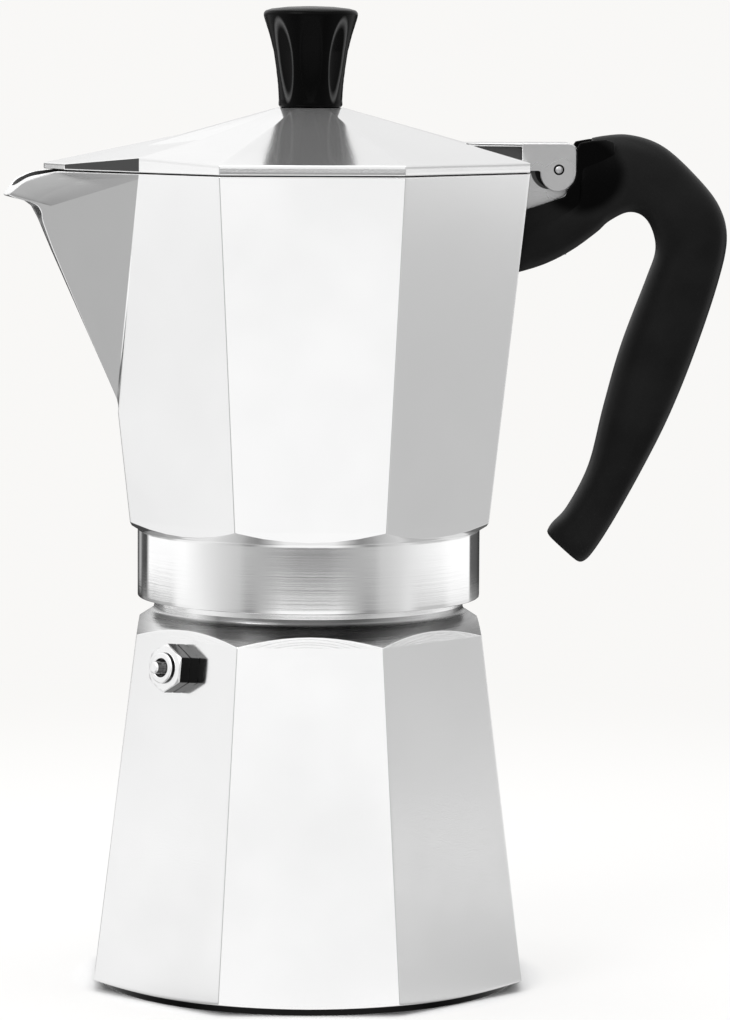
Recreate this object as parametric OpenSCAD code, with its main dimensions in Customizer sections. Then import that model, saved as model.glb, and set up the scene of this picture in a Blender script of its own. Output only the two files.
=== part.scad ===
// Eight-sided stovetop coffee pot: boiler with a pressure valve, funnel basket,
// gasket and filter plate, spouted collector with its chimney, hinged lid with a
// knob, and a hooked handle.
// The origin is the centre of the standing face, +Z points up, the spout points
// to -X and the handle to +X. All lengths are in millimetres.

/* [Boiler] */
// Distance from the axis to a flat at the foot of the boiler
boiler_foot_flat = 47.4; // [46:0.1:50]
// Distance from the axis to a flat at the shoulder
boiler_shoulder_flat = 38.1; // [37.5:0.1:40]
// Height of the facets' corners at the shoulder
boiler_shoulder_z = 79; // [74:0.5:90]
// Wall of the boiler
boiler_wall = 3; // [2:0.1:3.2]
// Thickness of the boiler's floor
boiler_floor = 3.5; // [2.5:0.1:6]
// Height of the turned chamfer around the foot
foot_chamfer_h = 2.4; // [1:0.1:4]
// Slope of the turned chamfer around the foot, in degrees
foot_chamfer_angle = 30; // [25:1:45]
// Slope of the turned shoulder, in degrees
shoulder_angle = 33; // [28:1:38]

/* [Screwed joint] */
// How far the neck stands inside the flats of the shoulder
neck_in = 3.6; // [3.3:0.1:4.1]
// Wall of the boiler's neck
neck_wall = 3.5; // [3:0.1:3.6]
// Gap between the shoulder's top and the skirt
skirt_gap = 2.3; // [1:0.1:4]
// Length of neck inside the skirt
neck_engagement = 8.4; // [7:0.1:10]
// Depth of the thread
thread_depth = 0.9; // [0.5:0.05:1.2]
// Distance from one thread crest to the next
thread_pitch = 2.4; // [2:0.1:3]
// Radial gap between the two threads
thread_gap = 0.25; // [0.2:0.05:0.4]
// Wall of the skirt behind the thread
skirt_wall = 2.55; // [2:0.05:4]
// Height of the plain band of the skirt
skirt_h = 15.1; // [14.6:0.1:20]

/* [Collector] */
// How far the flats of the collector's foot stand out past the skirt's band
collector_step = 1.3; // [0.8:0.1:2.8]
// How far the rim's flats stand out past the flats of the boiler's foot
rim_overhang = 0.4; // [-1:0.1:2]
// Height of the faceted part of the collector, from its band to its rim
collector_h = 79.6; // [74:0.2:95]
// Slope of the turned chamfer above the band, in degrees
collector_chamfer_angle = 31.5; // [26:0.5:38]
// Wall of the collector
collector_wall = 2.2; // [1.8:0.1:2.6]
// Thickness of the collector's floor
collector_floor = 3; // [2.5:0.1:5]

/* [Spout] */
// How far the spout's keel starts below the rim
spout_drop = 52.2; // [40:0.2:60]
// How far the lip reaches out past the rim's flat
spout_out = 20.5; // [17:0.1:22]
// Height of the lip's tip below the rim
lip_drop = 4.6; // [3.5:0.1:6]
// Slope of the keel from the vertical, in degrees
keel_angle = 23.2; // [20:0.2:25]
// Distance from the axis plane to where a cheek meets the rim
cheek_side = 30.4; // [28:0.2:33]

/* [Seal and filter] */
// Gap between stacked pieces of the seal
seat_gap = 0.2; // [0.15:0.05:0.3]
// Thickness of the gasket
gasket_h = 3.4; // [2.5:0.1:4]
// How far the edge of the gasket stands inside the neck's
gasket_in = 1.9; // [1.5:0.1:2.5]
// Radial width of the gasket
gasket_w = 5.6; // [4.5:0.1:6]
// Thickness of the filter plate
filter_t = 0.7; // [0.5:0.05:0.9]
// How far the edge of the filter plate stands inside the gasket's
filter_in = 3.6; // [3.2:0.1:4.2]
// Depth of the dish in the filter plate
filter_dish = 0.8; // [0.4:0.1:1.2]
// Radius of the small holes in the filter plate and the basket's screen
screen_hole_r = 0.55; // [0.4:0.05:0.7]
// Distance between the rings of small holes
screen_pitch = 3.2; // [2.8:0.1:4]

/* [Funnel] */
// Radial gap between the basket and the bore of the neck
basket_gap = 0.8; // [0.4:0.1:2]
// Depth of the basket
basket_h = 18; // [15:0.5:22]
// Sheet thickness of the funnel
funnel_wall = 0.8; // [0.6:0.05:1]
// Outer radius of the funnel's tube
tube_r = 4.2; // [3.6:0.1:5]
// Slope of the funnel's cone, in degrees
funnel_angle = 25; // [18:1:30]
// Height of the tube's open end above the boiler's floor
tube_foot_gap = 5; // [3:0.5:9]

/* [Chimney] */
// Height of the chimney above the collector's floor
chimney_h = 54; // [45:0.5:60]
// Radius of the chimney at its foot
chimney_foot_r = 8.6; // [8:0.1:11]
// Radius of the chimney at its top
chimney_top_r = 5.4; // [5:0.1:6]
// Radius of the chimney's bore
chimney_bore_r = 3.2; // [2.8:0.1:3.6]
// Radius of the two outlets near the chimney's top
outlet_r = 2.6; // [2:0.1:2.8]

/* [Lid] */
// Gap between the collector's rim and the lid
lid_gap = 0.3; // [0.2:0.05:0.5]
// Height of the lid's upright edge
lid_edge_h = 2.1; // [1.8:0.1:3]
// Slope of the lid's facets, in degrees
lid_angle = 15.9; // [13:0.1:18]
// Thickness of the lid's wall
lid_wall = 1.8; // [1.4:0.1:2]
// Radius of the round seat under the knob
boss_r = 7.4; // [7.2:0.1:9]
// How far the tip of the lid's beak stops short of the lip
beak_setback = 9.3; // [8:0.1:11]

/* [Knob] */
// Height of the knob
knob_h = 22.4; // [18:0.2:28]
// Radius of the knob at its foot
knob_foot_r = 7.1; // [6.5:0.1:7.2]
// Largest radius of the knob
knob_head_r = 10.45; // [9.6:0.05:12]
// Number of grooves around the knob
knob_grooves = 8; // [6:1:12]
// Depth of the knob's grooves
knob_groove_depth = 0.55; // [0.3:0.05:0.8]
// Radius of the knob's screw
knob_screw_r = 2; // [1.5:0.1:2.5]

/* [Hinge] */
// Distance of the hinge's pin from the flat of the rim
hinge_out = 7; // [6.6:0.1:8.2]
// Height of the hinge pin above the rim
hinge_rise = 0.6; // [0.4:0.1:1]
// Radius of the hinge pin
hinge_pin_r = 1; // [0.8:0.05:1.3]
// Running gap around the hinge pin
hinge_fit = 0.04; // [0.02:0.01:0.08]
// Outer radius of the collector's knuckle
knuckle_r = 3.7; // [3.2:0.1:3.8]
// Half of the knuckle's width
knuckle_half_w = 4.2; // [3.8:0.1:4.6]
// Side gap between the knuckle and an ear
ear_gap = 0.3; // [0.2:0.05:0.4]
// Thickness of an ear
ear_t = 2.5; // [2:0.1:2.8]
// Radius of an ear around the pin
ear_r = 4.3; // [4:0.1:4.5]
// Height of the hinge's top plate above the pin
hinge_top = 5.8; // [5.6:0.1:6]

/* [Handle] */
// Half of the handle's width at the grip
grip_half_w = 10.8; // [10:0.1:12.5]
// Half of the handle's width at its root
root_half_w = 9; // [8.8:0.1:10]
// Gap between the handle and the collector
handle_gap = 0.2; // [0.15:0.05:0.3]
// Half of the thickness of the collector's tongue in the handle
tongue_half_w = 3; // [2.5:0.1:3.4]
// Height of the collector's tongue
tongue_h = 4.2; // [3.6:0.1:4.4]
// How far the handle's screw stands inside the hinge's pin
handle_screw_in = 0.8; // [0:0.1:1.8]
// Radius of the handle's screw
handle_screw_r = 1.5; // [1.2:0.1:1.6]

/* [Valve] */
// Height of the valve's centre on the boiler's wall
valve_z = 73; // [71:0.1:74]
// Width of the valve's hexagon from corner to corner
valve_hex_d = 10.7; // [10:0.1:12]
// Thickness of the valve's hexagon
valve_hex_t = 2.6; // [2:0.1:3.4]
// Radius of the valve's shank
valve_shank_r = 3.6; // [3.4:0.1:4]
// Radius of the valve's stem
valve_stem_r = 1.35; // [1.1:0.05:1.5]
// How far the stem stands out of the boiler's wall
valve_stem_out = 9.3; // [8.6:0.1:11]
// Running gap around the stem
valve_fit = 0.06; // [0.03:0.01:0.09]
// Thickness of the nut inside the boiler
valve_nut_t = 2; // [1.5:0.1:2.2]
// Thickness of the washer inside the boiler
valve_washer_t = 0.6; // [0.5:0.1:0.8]
// Wire radius of the valve's spring
spring_wire_r = 0.3; // [0.2:0.05:0.35]
// Number of turns of the valve's spring
spring_turns = 4; // [3:1:5]

/* [Hidden] */

$fn = 96;
SIDES = 8;
HALF_SIDE = 180 / SIDES;
PRISM_ANGLES = [for (i = [0 : SIDES / 2 - 1]) i * 2 * HALF_SIDE];
FAR = 60;
CUT = 1;
THROUGH = 9;
TOUCH_FIT = 0.02;

neck_r = boiler_shoulder_flat - neck_in;
band_r = neck_r + thread_gap + thread_depth + skirt_wall;
collector_foot_flat = band_r + collector_step;
collector_rim_flat = boiler_foot_flat + rim_overhang;
spout_reach = collector_rim_flat + spout_out;
beak_reach = spout_reach - beak_setback;
hinge_x = collector_rim_flat + hinge_out;
handle_screw_x = hinge_x - handle_screw_in;

// Heights, from the base up
foot_corner_r = boiler_foot_flat / cos(HALF_SIDE);
foot_face_r = foot_corner_r - foot_chamfer_h / tan(foot_chamfer_angle);
shoulder_corner_r = boiler_shoulder_flat / cos(HALF_SIDE);
neck_fillet = 1.4;
shoulder_top_z = boiler_shoulder_z
    + (shoulder_corner_r - neck_r - neck_fillet) * tan(shoulder_angle);
neck_foot_z = shoulder_top_z + neck_fillet;
skirt_z = neck_foot_z + skirt_gap;
neck_top_z = skirt_z + neck_engagement;
neck_bore_r = neck_r - neck_wall;
basket_r = neck_bore_r - basket_gap;
gasket_r = neck_r - gasket_in;
filter_r = gasket_r - filter_in;
flange_z = neck_top_z + seat_gap;
gasket_z = flange_z + funnel_wall + seat_gap;
filter_z = gasket_z + gasket_h + seat_gap;
ceiling_z = filter_z + filter_t + seat_gap;
floor_z = ceiling_z + collector_floor;
band_z = skirt_z + skirt_h;
rim_z = band_z + collector_h;
seal_r = gasket_r + seat_gap;
flange_r = gasket_r - seat_gap;
collector_corner_z = band_z
    + (collector_foot_flat / cos(HALF_SIDE) - band_r) * tan(collector_chamfer_angle);

// Lid and hinge
lid_z = rim_z + lid_gap;
lid_flat = collector_rim_flat;
lid_edge_z = lid_z + lid_edge_h;
boss_z = lid_edge_z + (lid_flat - boss_r) * tan(lid_angle);
knob_z = boss_z + TOUCH_FIT;
hinge_z = rim_z + hinge_rise;
ear_inner_y = knuckle_half_w + ear_gap;
ear_outer_y = ear_inner_y + ear_t;
plate_t = 1.6;
sweep_r = 6.6;

function lerp(a, b, t) = a + (b - a) * t;

// Distance from the axis to a flat of the boiler, at height z
function boiler_flat(z) = lerp(boiler_foot_flat, boiler_shoulder_flat,
    (z - foot_chamfer_h) / (boiler_shoulder_z - foot_chamfer_h));

// Distance from the axis to a flat of the collector, at height z
function collector_flat(z) = lerp(collector_foot_flat, collector_rim_flat,
    (z - collector_corner_z) / (rim_z - collector_corner_z));

// Height of the lid's sloping facets above a point at distance d along a flat's normal
function lid_slope_z(d) = lid_edge_z + (lid_flat - d) * tan(lid_angle);

// Eight-sided solid: profile is one half of its section across two opposite flats,
// as [distance, height] points from the bottom up
module faceted(profile) {
    mirrored = [for (i = [len(profile) - 1 : -1 : 0]) [-profile[i][0], profile[i][1]]];
    intersection_for (a = PRISM_ANGLES)
        rotate([0, 0, a]) rotate([90, 0, 0])
            linear_extrude(4 * FAR, center = true) polygon(concat(profile, mirrored));
}

// Plate in the XZ plane, centred on the Y axis plane, half_w to each side
module upright(half_w) {
    rotate([90, 0, 0]) linear_extrude(2 * half_w, center = true) children();
}

// Cylinder along Y at [x, z]
module cross_cylinder(x, z, r, half_w) {
    translate([x, 0, z]) rotate([90, 0, 0]) cylinder(h = 2 * half_w, r = r, center = true);
}

// Points of a quarter round, from angle a0 to a1
function arc(cx, cz, r, a0, a1, steps = 6) =
    [for (i = [0 : steps]) let (a = lerp(a0, a1, i / steps)) [cx + r * cos(a), cz + r * sin(a)]];

// Zigzag of thread crests between two heights: crest and root radii, bottom to top
function thread_line(crest, root, z0, turns) =
    [for (i = [0 : turns - 1]) each [
        [crest, z0 + (i + 0.1) * thread_pitch], [root, z0 + (i + 0.45) * thread_pitch],
        [root, z0 + (i + 0.6) * thread_pitch], [crest, z0 + (i + 0.95) * thread_pitch]]];

thread_turns = floor((neck_engagement - 0.8) / thread_pitch);

// ---- Boiler ----------------------------------------------------------------

module boiler_skin() {
    faceted([[boiler_flat(0), 0], [boiler_flat(boiler_shoulder_z), boiler_shoulder_z],
        [boiler_flat(neck_foot_z), neck_foot_z], [boiler_flat(neck_foot_z), neck_top_z]]);
}

module boiler_envelope() {
    far_rise = (FAR - foot_face_r) * tan(foot_chamfer_angle);
    far_drop = (FAR - shoulder_corner_r) * tan(shoulder_angle);
    rotate_extrude() polygon(concat(
        [[0, 0], [foot_face_r, 0], [FAR, far_rise], [FAR, boiler_shoulder_z - far_drop],
            [neck_r + neck_fillet, shoulder_top_z]],
        [for (p = arc(neck_r + neck_fillet, neck_foot_z, neck_fillet, 270, 180)) p],
        thread_line(neck_r, neck_r - thread_depth, skirt_z, thread_turns),
        [[neck_r, neck_top_z - 0.6], [neck_r - 0.6, neck_top_z], [0, neck_top_z]]));
}

module boiler_cavity() {
    corner = 7;
    foot_r = boiler_flat(boiler_floor) - boiler_wall;
    head_r = boiler_flat(boiler_shoulder_z) - boiler_wall;
    rotate_extrude() polygon(concat(
        [[0, boiler_floor]],
        arc(foot_r - corner, boiler_floor + corner, corner, 270, 360),
        [[head_r, boiler_shoulder_z - boiler_wall],
            [neck_bore_r, boiler_shoulder_z + 0.3 * boiler_wall],
            [neck_bore_r, neck_top_z + CUT], [0, neck_top_z + CUT]]));
}

// Places its children on the boiler's front left flat, with +Z out along the flat's normal
module at_valve() {
    lean = atan((boiler_foot_flat - boiler_shoulder_flat) / (boiler_shoulder_z - foot_chamfer_h));
    rotate([0, 0, 225]) translate([boiler_flat(valve_z), 0, valve_z]) rotate([0, 90 - lean, 0])
        children();
}

module boiler() {
    color("silver") difference() {
        intersection() {
            boiler_skin();
            boiler_envelope();
        }
        boiler_cavity();
        at_valve() {
            cylinder(h = 6 * boiler_wall, r = valve_shank_r + TOUCH_FIT, center = true);
            // The inner wall is round, so it is spot faced flat for the washer and the nut
            translate([0, 0, -boiler_wall - spot_depth - THROUGH])
                cylinder(h = THROUGH, r = valve_hex_d / 2 + 0.4);
        }
    }
}

// ---- Valve, along its own axis: the boiler's outer face is at 0 --------------

spot_depth = -0.1;
washer_face_z = -boiler_wall - spot_depth - TOUCH_FIT;
valve_in = boiler_wall + valve_washer_t + valve_nut_t + 0.4;
chamber_r = valve_shank_r - 0.9;
seat_t = 0.8;
plunger_z = seat_t - valve_in;
plunger_t = 1.3;
valve_cap_t = 2.9;
ring_t = 1.1;
valve_mouth_z = valve_hex_t + 1.4;

// Hexagonal prism with its outer corners turned off at the top
module turned_hex(z, h, corner_d, face_d) {
    intersection() {
        translate([0, 0, z]) rotate([0, 0, 30]) cylinder(h = h, d = corner_d, $fn = 6);
        rotate_extrude() polygon([[0, z - CUT], [corner_d, z - CUT],
            [corner_d, z + h - (corner_d - face_d / 2) * tan(30)], [face_d / 2, z + h], [0, z + h]]);
    }
}

module valve_body() {
    color("gold") at_valve() difference() {
        union() {
            turned_hex(0, valve_hex_t, valve_hex_d, valve_hex_d - 1);
            translate([0, 0, -valve_in]) cylinder(h = valve_in + CUT, r = valve_shank_r);
        }
        translate([0, 0, plunger_z]) cylinder(h = FAR, r = chamber_r);
        cylinder(h = FAR, r = valve_stem_r, center = true);
    }
}

module valve_cap() {
    color("gold") at_valve() difference() {
        union() {
            turned_hex(valve_hex_t, valve_cap_t, valve_hex_d, valve_hex_d - 1.4);
            cylinder(h = valve_hex_t + valve_cap_t + ring_t, r = 3.3);
        }
        cylinder(h = 2 * valve_mouth_z, r = chamber_r, center = true);
        cylinder(h = valve_hex_t + TOUCH_FIT, r = FAR);
        cylinder(h = FAR, r = valve_stem_r + valve_fit);
        translate([0, 0, valve_mouth_z + 1.5]) cylinder(h = FAR, r = valve_stem_r + 0.65);
    }
}

module valve_washer() {
    color("tan") at_valve() translate([0, 0, washer_face_z - valve_washer_t])
        difference() {
            cylinder(h = valve_washer_t, r = valve_shank_r + 1.4);
            cylinder(h = THROUGH, r = valve_shank_r + TOUCH_FIT, center = true);
        }
}

module valve_nut() {
    color("gold") at_valve()
        translate([0, 0, washer_face_z - valve_washer_t - valve_nut_t])
            difference() {
                cylinder(h = valve_nut_t, d = valve_hex_d - 0.4, $fn = 6);
                cylinder(h = THROUGH, r = valve_shank_r + TOUCH_FIT, center = true);
            }
}

module valve_stem() {
    color("silver") at_valve() {
        translate([0, 0, plunger_z + TOUCH_FIT])
            cylinder(h = plunger_t, r = chamber_r - valve_fit);
        translate([0, 0, plunger_z + TOUCH_FIT])
            cylinder(h = valve_stem_out - plunger_z - 0.5, r = valve_stem_r);
        translate([0, 0, valve_stem_out - 0.5 + TOUCH_FIT])
            rotate_extrude() polygon([[0, 0], [valve_stem_r, 0], [valve_stem_r - 0.4, 0.5], [0, 0.5]]);
    }
}

// The spring's turns as rings, joined into one coil by its own length
module valve_spring() {
    coil_r = (chamber_r + valve_stem_r) / 2;
    spring_z = plunger_z + plunger_t + 2 * TOUCH_FIT + spring_wire_r;
    spring_h = valve_mouth_z - spring_z - spring_wire_r - TOUCH_FIT;
    color("silver") at_valve()
        for (i = [0 : spring_turns])
            translate([0, 0, spring_z + i * spring_h / spring_turns])
                rotate_extrude() translate([coil_r, 0]) circle(r = spring_wire_r, $fn = 16);
}

// ---- Funnel ----------------------------------------------------------------

basket_z = flange_z - basket_h;
tube_foot_z = boiler_floor + tube_foot_gap;
cone_foot_z = basket_z - (basket_r - tube_r) * tan(funnel_angle);

module funnel_tube() {
    bore_r = tube_r - funnel_wall;
    color("silver") rotate_extrude() polygon([
        [tube_r, tube_foot_z], [tube_r, cone_foot_z], [basket_r, basket_z],
        [basket_r - funnel_wall, basket_z],
        [bore_r, cone_foot_z + funnel_wall], [bore_r, tube_foot_z]]);
}

module basket_cup() {
    color("silver") rotate_extrude() polygon([
        [basket_r - funnel_wall, basket_z + TOUCH_FIT], [basket_r, basket_z + TOUCH_FIT],
        [basket_r, flange_z], [flange_r, flange_z], [flange_r, flange_z + funnel_wall],
        [basket_r - funnel_wall, flange_z + funnel_wall]]);
}

// Rings of small holes, spaced by screen_pitch, out to radius r
module screen_holes(r) {
    cylinder(h = THROUGH, r = screen_hole_r, center = true, $fn = 16);
    for (ring = [1 : floor((r - screen_hole_r) / screen_pitch)])
        for (i = [0 : 6 * ring - 1])
            rotate([0, 0, i * 60 / ring]) translate([ring * screen_pitch, 0, 0])
                cylinder(h = THROUGH, r = screen_hole_r, center = true, $fn = 16);
}

module basket_screen() {
    screen_r = basket_r - funnel_wall - TOUCH_FIT;
    color("lightgray") translate([0, 0, basket_z + TOUCH_FIT]) difference() {
        cylinder(h = funnel_wall, r = screen_r);
        screen_holes(screen_r - 2 * screen_pitch);
    }
}

// ---- Seal ------------------------------------------------------------------

module gasket() {
    color("white") translate([0, 0, gasket_z]) difference() {
        cylinder(h = gasket_h, r = gasket_r);
        translate([0, 0, -CUT]) cylinder(h = gasket_h + 2 * CUT, r = gasket_r - gasket_w);
    }
}

module filter_plate() {
    dish_r = gasket_r - gasket_w - seat_gap;
    step = filter_dish;
    color("lightgray") difference() {
        rotate_extrude() polygon([
            [0, filter_z - step], [dish_r - step, filter_z - step], [dish_r, filter_z],
            [filter_r, filter_z], [filter_r, filter_z + filter_t], [dish_r, filter_z + filter_t],
            [dish_r - step, filter_z + filter_t - step], [0, filter_z + filter_t - step]]);
        translate([0, 0, filter_z]) screen_holes(dish_r - screen_pitch);
    }
}

// ---- Collector -------------------------------------------------------------

chimney_shank_r = chimney_foot_r - 1.8;

// The spout's cheeks are ruled between the straight keel and a straight line on the
// neighbouring flats, which starts at the corner and parts from it as it rises
keel_foot_z = rim_z - spout_drop;
lip_z = rim_z - lip_drop;
keel_flat = 0.8;
SPOUT_STEPS = 12;
function keel_x(z, inset) = 1.5 * inset
    - collector_flat(keel_foot_z) - (z - keel_foot_z) * tan(keel_angle);
function cheek_y(z, inset) = lerp(collector_flat(keel_foot_z) * tan(HALF_SIDE), cheek_side,
    (z - keel_foot_z) / spout_drop) - 0.7 * inset;
function cheek_x(z, inset) = cheek_y(z, inset) - (collector_flat(z) - inset) / sin(45);

// Points of the body at height z, clockwise from above, moved in by inset. spouted is
// false below the spout's foot.
function body_ring(z, inset, spouted) = let (
        f = collector_flat(z) - inset,
        side = [for (a = [HALF_SIDE, 3 * HALF_SIDE, 5 * HALF_SIDE])
            [f * cos(a) / cos(HALF_SIDE), f * sin(a) / cos(HALF_SIDE), z]],
        y = spouted ? cheek_y(z, inset) : f * tan(HALF_SIDE),
        x = spouted ? cheek_x(z, inset) : -f,
        k = spouted ? keel_x(z, inset) : -f)
    [for (p = side) [p[0], -p[1], z], [x, -y, z], [k, -keel_flat, z],
        [k, keel_flat, z], [x, y, z], side[2], side[1], side[0]];

// Closed solid through rings of equal length, from the bottom up
module lofted(rings) {
    n = len(rings[0]);
    top = len(rings) - 1;
    polyhedron(points = [for (r = rings) each r], convexity = 4, faces = concat(
        [[for (k = [n - 1 : -1 : 0]) k], [for (k = [0 : n - 1]) top * n + k]],
        [for (j = [0 : top - 1]) for (k = [0 : n - 1]) each [
            [j * n + k, j * n + (k + 1) % n, (j + 1) * n + k],
            [j * n + (k + 1) % n, (j + 1) * n + (k + 1) % n, (j + 1) * n + k]]]));
}

// Eight-sided body with its spout, from one height to another, moved in by inset
module spouted_body(inset, bottom, top) {
    foot = keel_foot_z + 2 * inset;
    lofted(concat([body_ring(bottom, inset, false), body_ring(foot, inset, false)],
        [for (i = [1 : SPOUT_STEPS]) body_ring(lerp(foot, top, i / SPOUT_STEPS), inset, true)]));
}

module collector_skin() {
    far_rise = (2 * FAR - band_r) * tan(collector_chamfer_angle);
    intersection() {
        spouted_body(0, band_z, rim_z);
        rotate_extrude() polygon([[0, band_z - CUT], [band_r - CUT * 1.5, band_z - CUT],
            [2 * FAR, band_z + far_rise], [2 * FAR, rim_z + CUT], [0, rim_z + CUT]]);
    }
    translate([0, 0, skirt_z]) cylinder(h = band_z - skirt_z + TOUCH_FIT, r = band_r);
}

// Flared lip at the spout's tip
module lip() {
    r = 0.9;
    hull() {
        translate([keel_x(lip_z - 4.5, 0) + r + 0.5, 0, lip_z - 4.5]) sphere(r = r, $fn = 20);
        translate([-spout_reach + r, 0, lip_z]) sphere(r = r, $fn = 20);
        for (s = [-1, 1]) {
            translate([-spout_reach + 4.4, s * 3.6, lip_z + 2]) sphere(r = r, $fn = 20);
            translate([-spout_reach + 8.4, s * 6.4, rim_z - 0.7]) sphere(r = 0.6, $fn = 16);
            translate([cheek_x(rim_z, 0) - 14, s * (cheek_side - 14.8), rim_z - 2])
                cylinder(h = 2, r = 0.4, $fn = 16);
        }
    }
}

// Pouring groove through the lip
module lip_groove() {
    hull() {
        translate([keel_x(lip_z - 1, 0) + 3.4, 0, lip_z - 1]) sphere(r = 0.9, $fn = 20);
        translate([-spout_reach - 1, 0, lip_z + 2]) sphere(r = 0.9, $fn = 20);
        for (s = [-1, 1]) {
            translate([-spout_reach - 0.5, s * 1.4, rim_z + CUT]) cylinder(h = CUT, r = 0.8, $fn = 16);
            translate([cheek_x(rim_z, 0) - 14, s * (cheek_side - 17.6), rim_z - 2])
                cylinder(h = 2 + CUT, r = 0.4, $fn = 16);
        }
    }
}

module collector_cavity() {
    ramp = 4;
    flat = collector_flat(floor_z) - collector_wall;
    intersection() {
        spouted_body(collector_wall, floor_z - CUT, rim_z + CUT);
        rotate_extrude() polygon([[0, floor_z], [flat - ramp, floor_z],
            [2 * FAR, floor_z + 2 * FAR - flat + ramp], [2 * FAR, rim_z + 2 * CUT],
            [0, rim_z + 2 * CUT]]);
    }
}

// Thread, gasket seat and filter seat under the collector's floor
module skirt_bore() {
    crest = neck_r + thread_gap;
    root = crest + thread_depth;
    seat_shoulder_z = neck_top_z + 2 * seat_gap;
    rotate_extrude() polygon(concat(
        [[0, skirt_z - CUT], [root, skirt_z - CUT]],
        [for (p = thread_line(crest, root, skirt_z, thread_turns)) p],
        [[crest, seat_shoulder_z], [seal_r, seat_shoulder_z],
            [seal_r, gasket_z + gasket_h + seat_gap], [filter_r + seat_gap, gasket_z + gasket_h + seat_gap],
            [filter_r + seat_gap, ceiling_z], [0, ceiling_z]]));
}

// Web, knuckle and tongue behind the collector
lug_foot_z = rim_z - 9.4;
lug_nose = [hinge_x + 2.3, rim_z - 4.4];
tongue_z = lug_foot_z - tongue_h;
tongue_end_x = handle_screw_x + 5;
screw_cover = 3.4;
lug_web_z = rim_z - 6.6;
lug_under_z = rim_z - 5.4;

module lug() {
    wall_x = collector_flat(lug_foot_z) - collector_wall / 2;
    upright(knuckle_half_w) polygon([[wall_x, lug_foot_z], [hinge_x - 1, lug_web_z],
        [lug_nose[0] - 0.8, lug_under_z], lug_nose, [hinge_x, hinge_z], [wall_x, rim_z - 0.3]]);
    cross_cylinder(hinge_x, hinge_z, knuckle_r, knuckle_half_w);
    upright(tongue_half_w) polygon([[wall_x, tongue_z], [tongue_end_x, tongue_z],
        [tongue_end_x, lug_under_z], [wall_x, lug_under_z]]);
}

module collector() {
    color("silver") difference() {
        union() {
            collector_skin();
            lip();
            lug();
        }
        collector_cavity();
        lip_groove();
        skirt_bore();
        cylinder(h = floor_z + CUT, r = chimney_shank_r + TOUCH_FIT);
        cross_cylinder(hinge_x, hinge_z, hinge_pin_r + TOUCH_FIT, knuckle_half_w + CUT);
        translate([handle_screw_x, 0, tongue_z - CUT])
            cylinder(h = tongue_h, r = handle_screw_r + TOUCH_FIT);
    }
}

module chimney() {
    top_z = floor_z + chimney_h;
    dome = 3;
    outlet_z = top_z - dome - outlet_r - 1;
    color("silver") difference() {
        rotate_extrude() polygon(concat(
            [[0, ceiling_z + TOUCH_FIT], [chimney_shank_r, ceiling_z + TOUCH_FIT],
                [chimney_shank_r, floor_z + TOUCH_FIT],
                [chimney_foot_r, floor_z + TOUCH_FIT], [chimney_foot_r, floor_z + 1.5],
                [chimney_top_r, top_z - dome]],
            [for (i = [1 : 6]) [chimney_top_r * cos(15 * i), top_z - dome + dome * sin(15 * i)]]));
        translate([0, 0, ceiling_z]) cylinder(h = outlet_z - ceiling_z, r = chimney_bore_r);
        translate([0, 0, outlet_z]) rotate([90, 0, 0])
            cylinder(h = 4 * chimney_top_r, r = outlet_r, center = true);
    }
}

module hinge_pin() {
    color("gray") cross_cylinder(hinge_x, hinge_z, hinge_pin_r, ear_outer_y - 0.15);
}

// ---- Lid -------------------------------------------------------------------

beak_ridge_x = lid_flat - 21;
post = 0.4;
beak_step = 0.12;

// Beak over the spout
module beak_form() {
    near = [-beak_reach + 5, 12.3];
    foot = lid_z + beak_step;
    hull() {
        translate([-beak_reach + post, 0, foot]) cylinder(h = 1.3 - beak_step, r = post, $fn = 16);
        for (s = [-1, 1]) {
            translate([near[0] + post, s * (near[1] - post), foot])
                cylinder(h = 1.4 - beak_step, r = post, $fn = 16);
            translate([cheek_x(rim_z, 0) + post, s * (cheek_side - post), foot])
                cylinder(h = 3.1 - beak_step, r = post, $fn = 16);
        }
        translate([-beak_ridge_x, 0, foot])
            cylinder(h = lid_slope_z(beak_ridge_x) - foot, r = post, $fn = 16);
    }
}

// Hollow under the beak, open towards the lid's own hollow
module beak_hollow() {
    foot = lid_z - CUT;
    hull() {
        for (s = [-1, 1]) {
            translate([-beak_reach + 9, s * 6, foot]) cylinder(h = CUT + 0.5, r = post, $fn = 16);
            translate([cheek_x(rim_z, 0) + post + lid_wall, s * (cheek_side - post - lid_wall), foot])
                cylinder(h = CUT + 1.4, r = post, $fn = 16);
        }
        translate([-beak_ridge_x, 0, foot])
            cylinder(h = lid_slope_z(beak_ridge_x) - lid_wall - foot, r = post, $fn = 16);
    }
}

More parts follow.
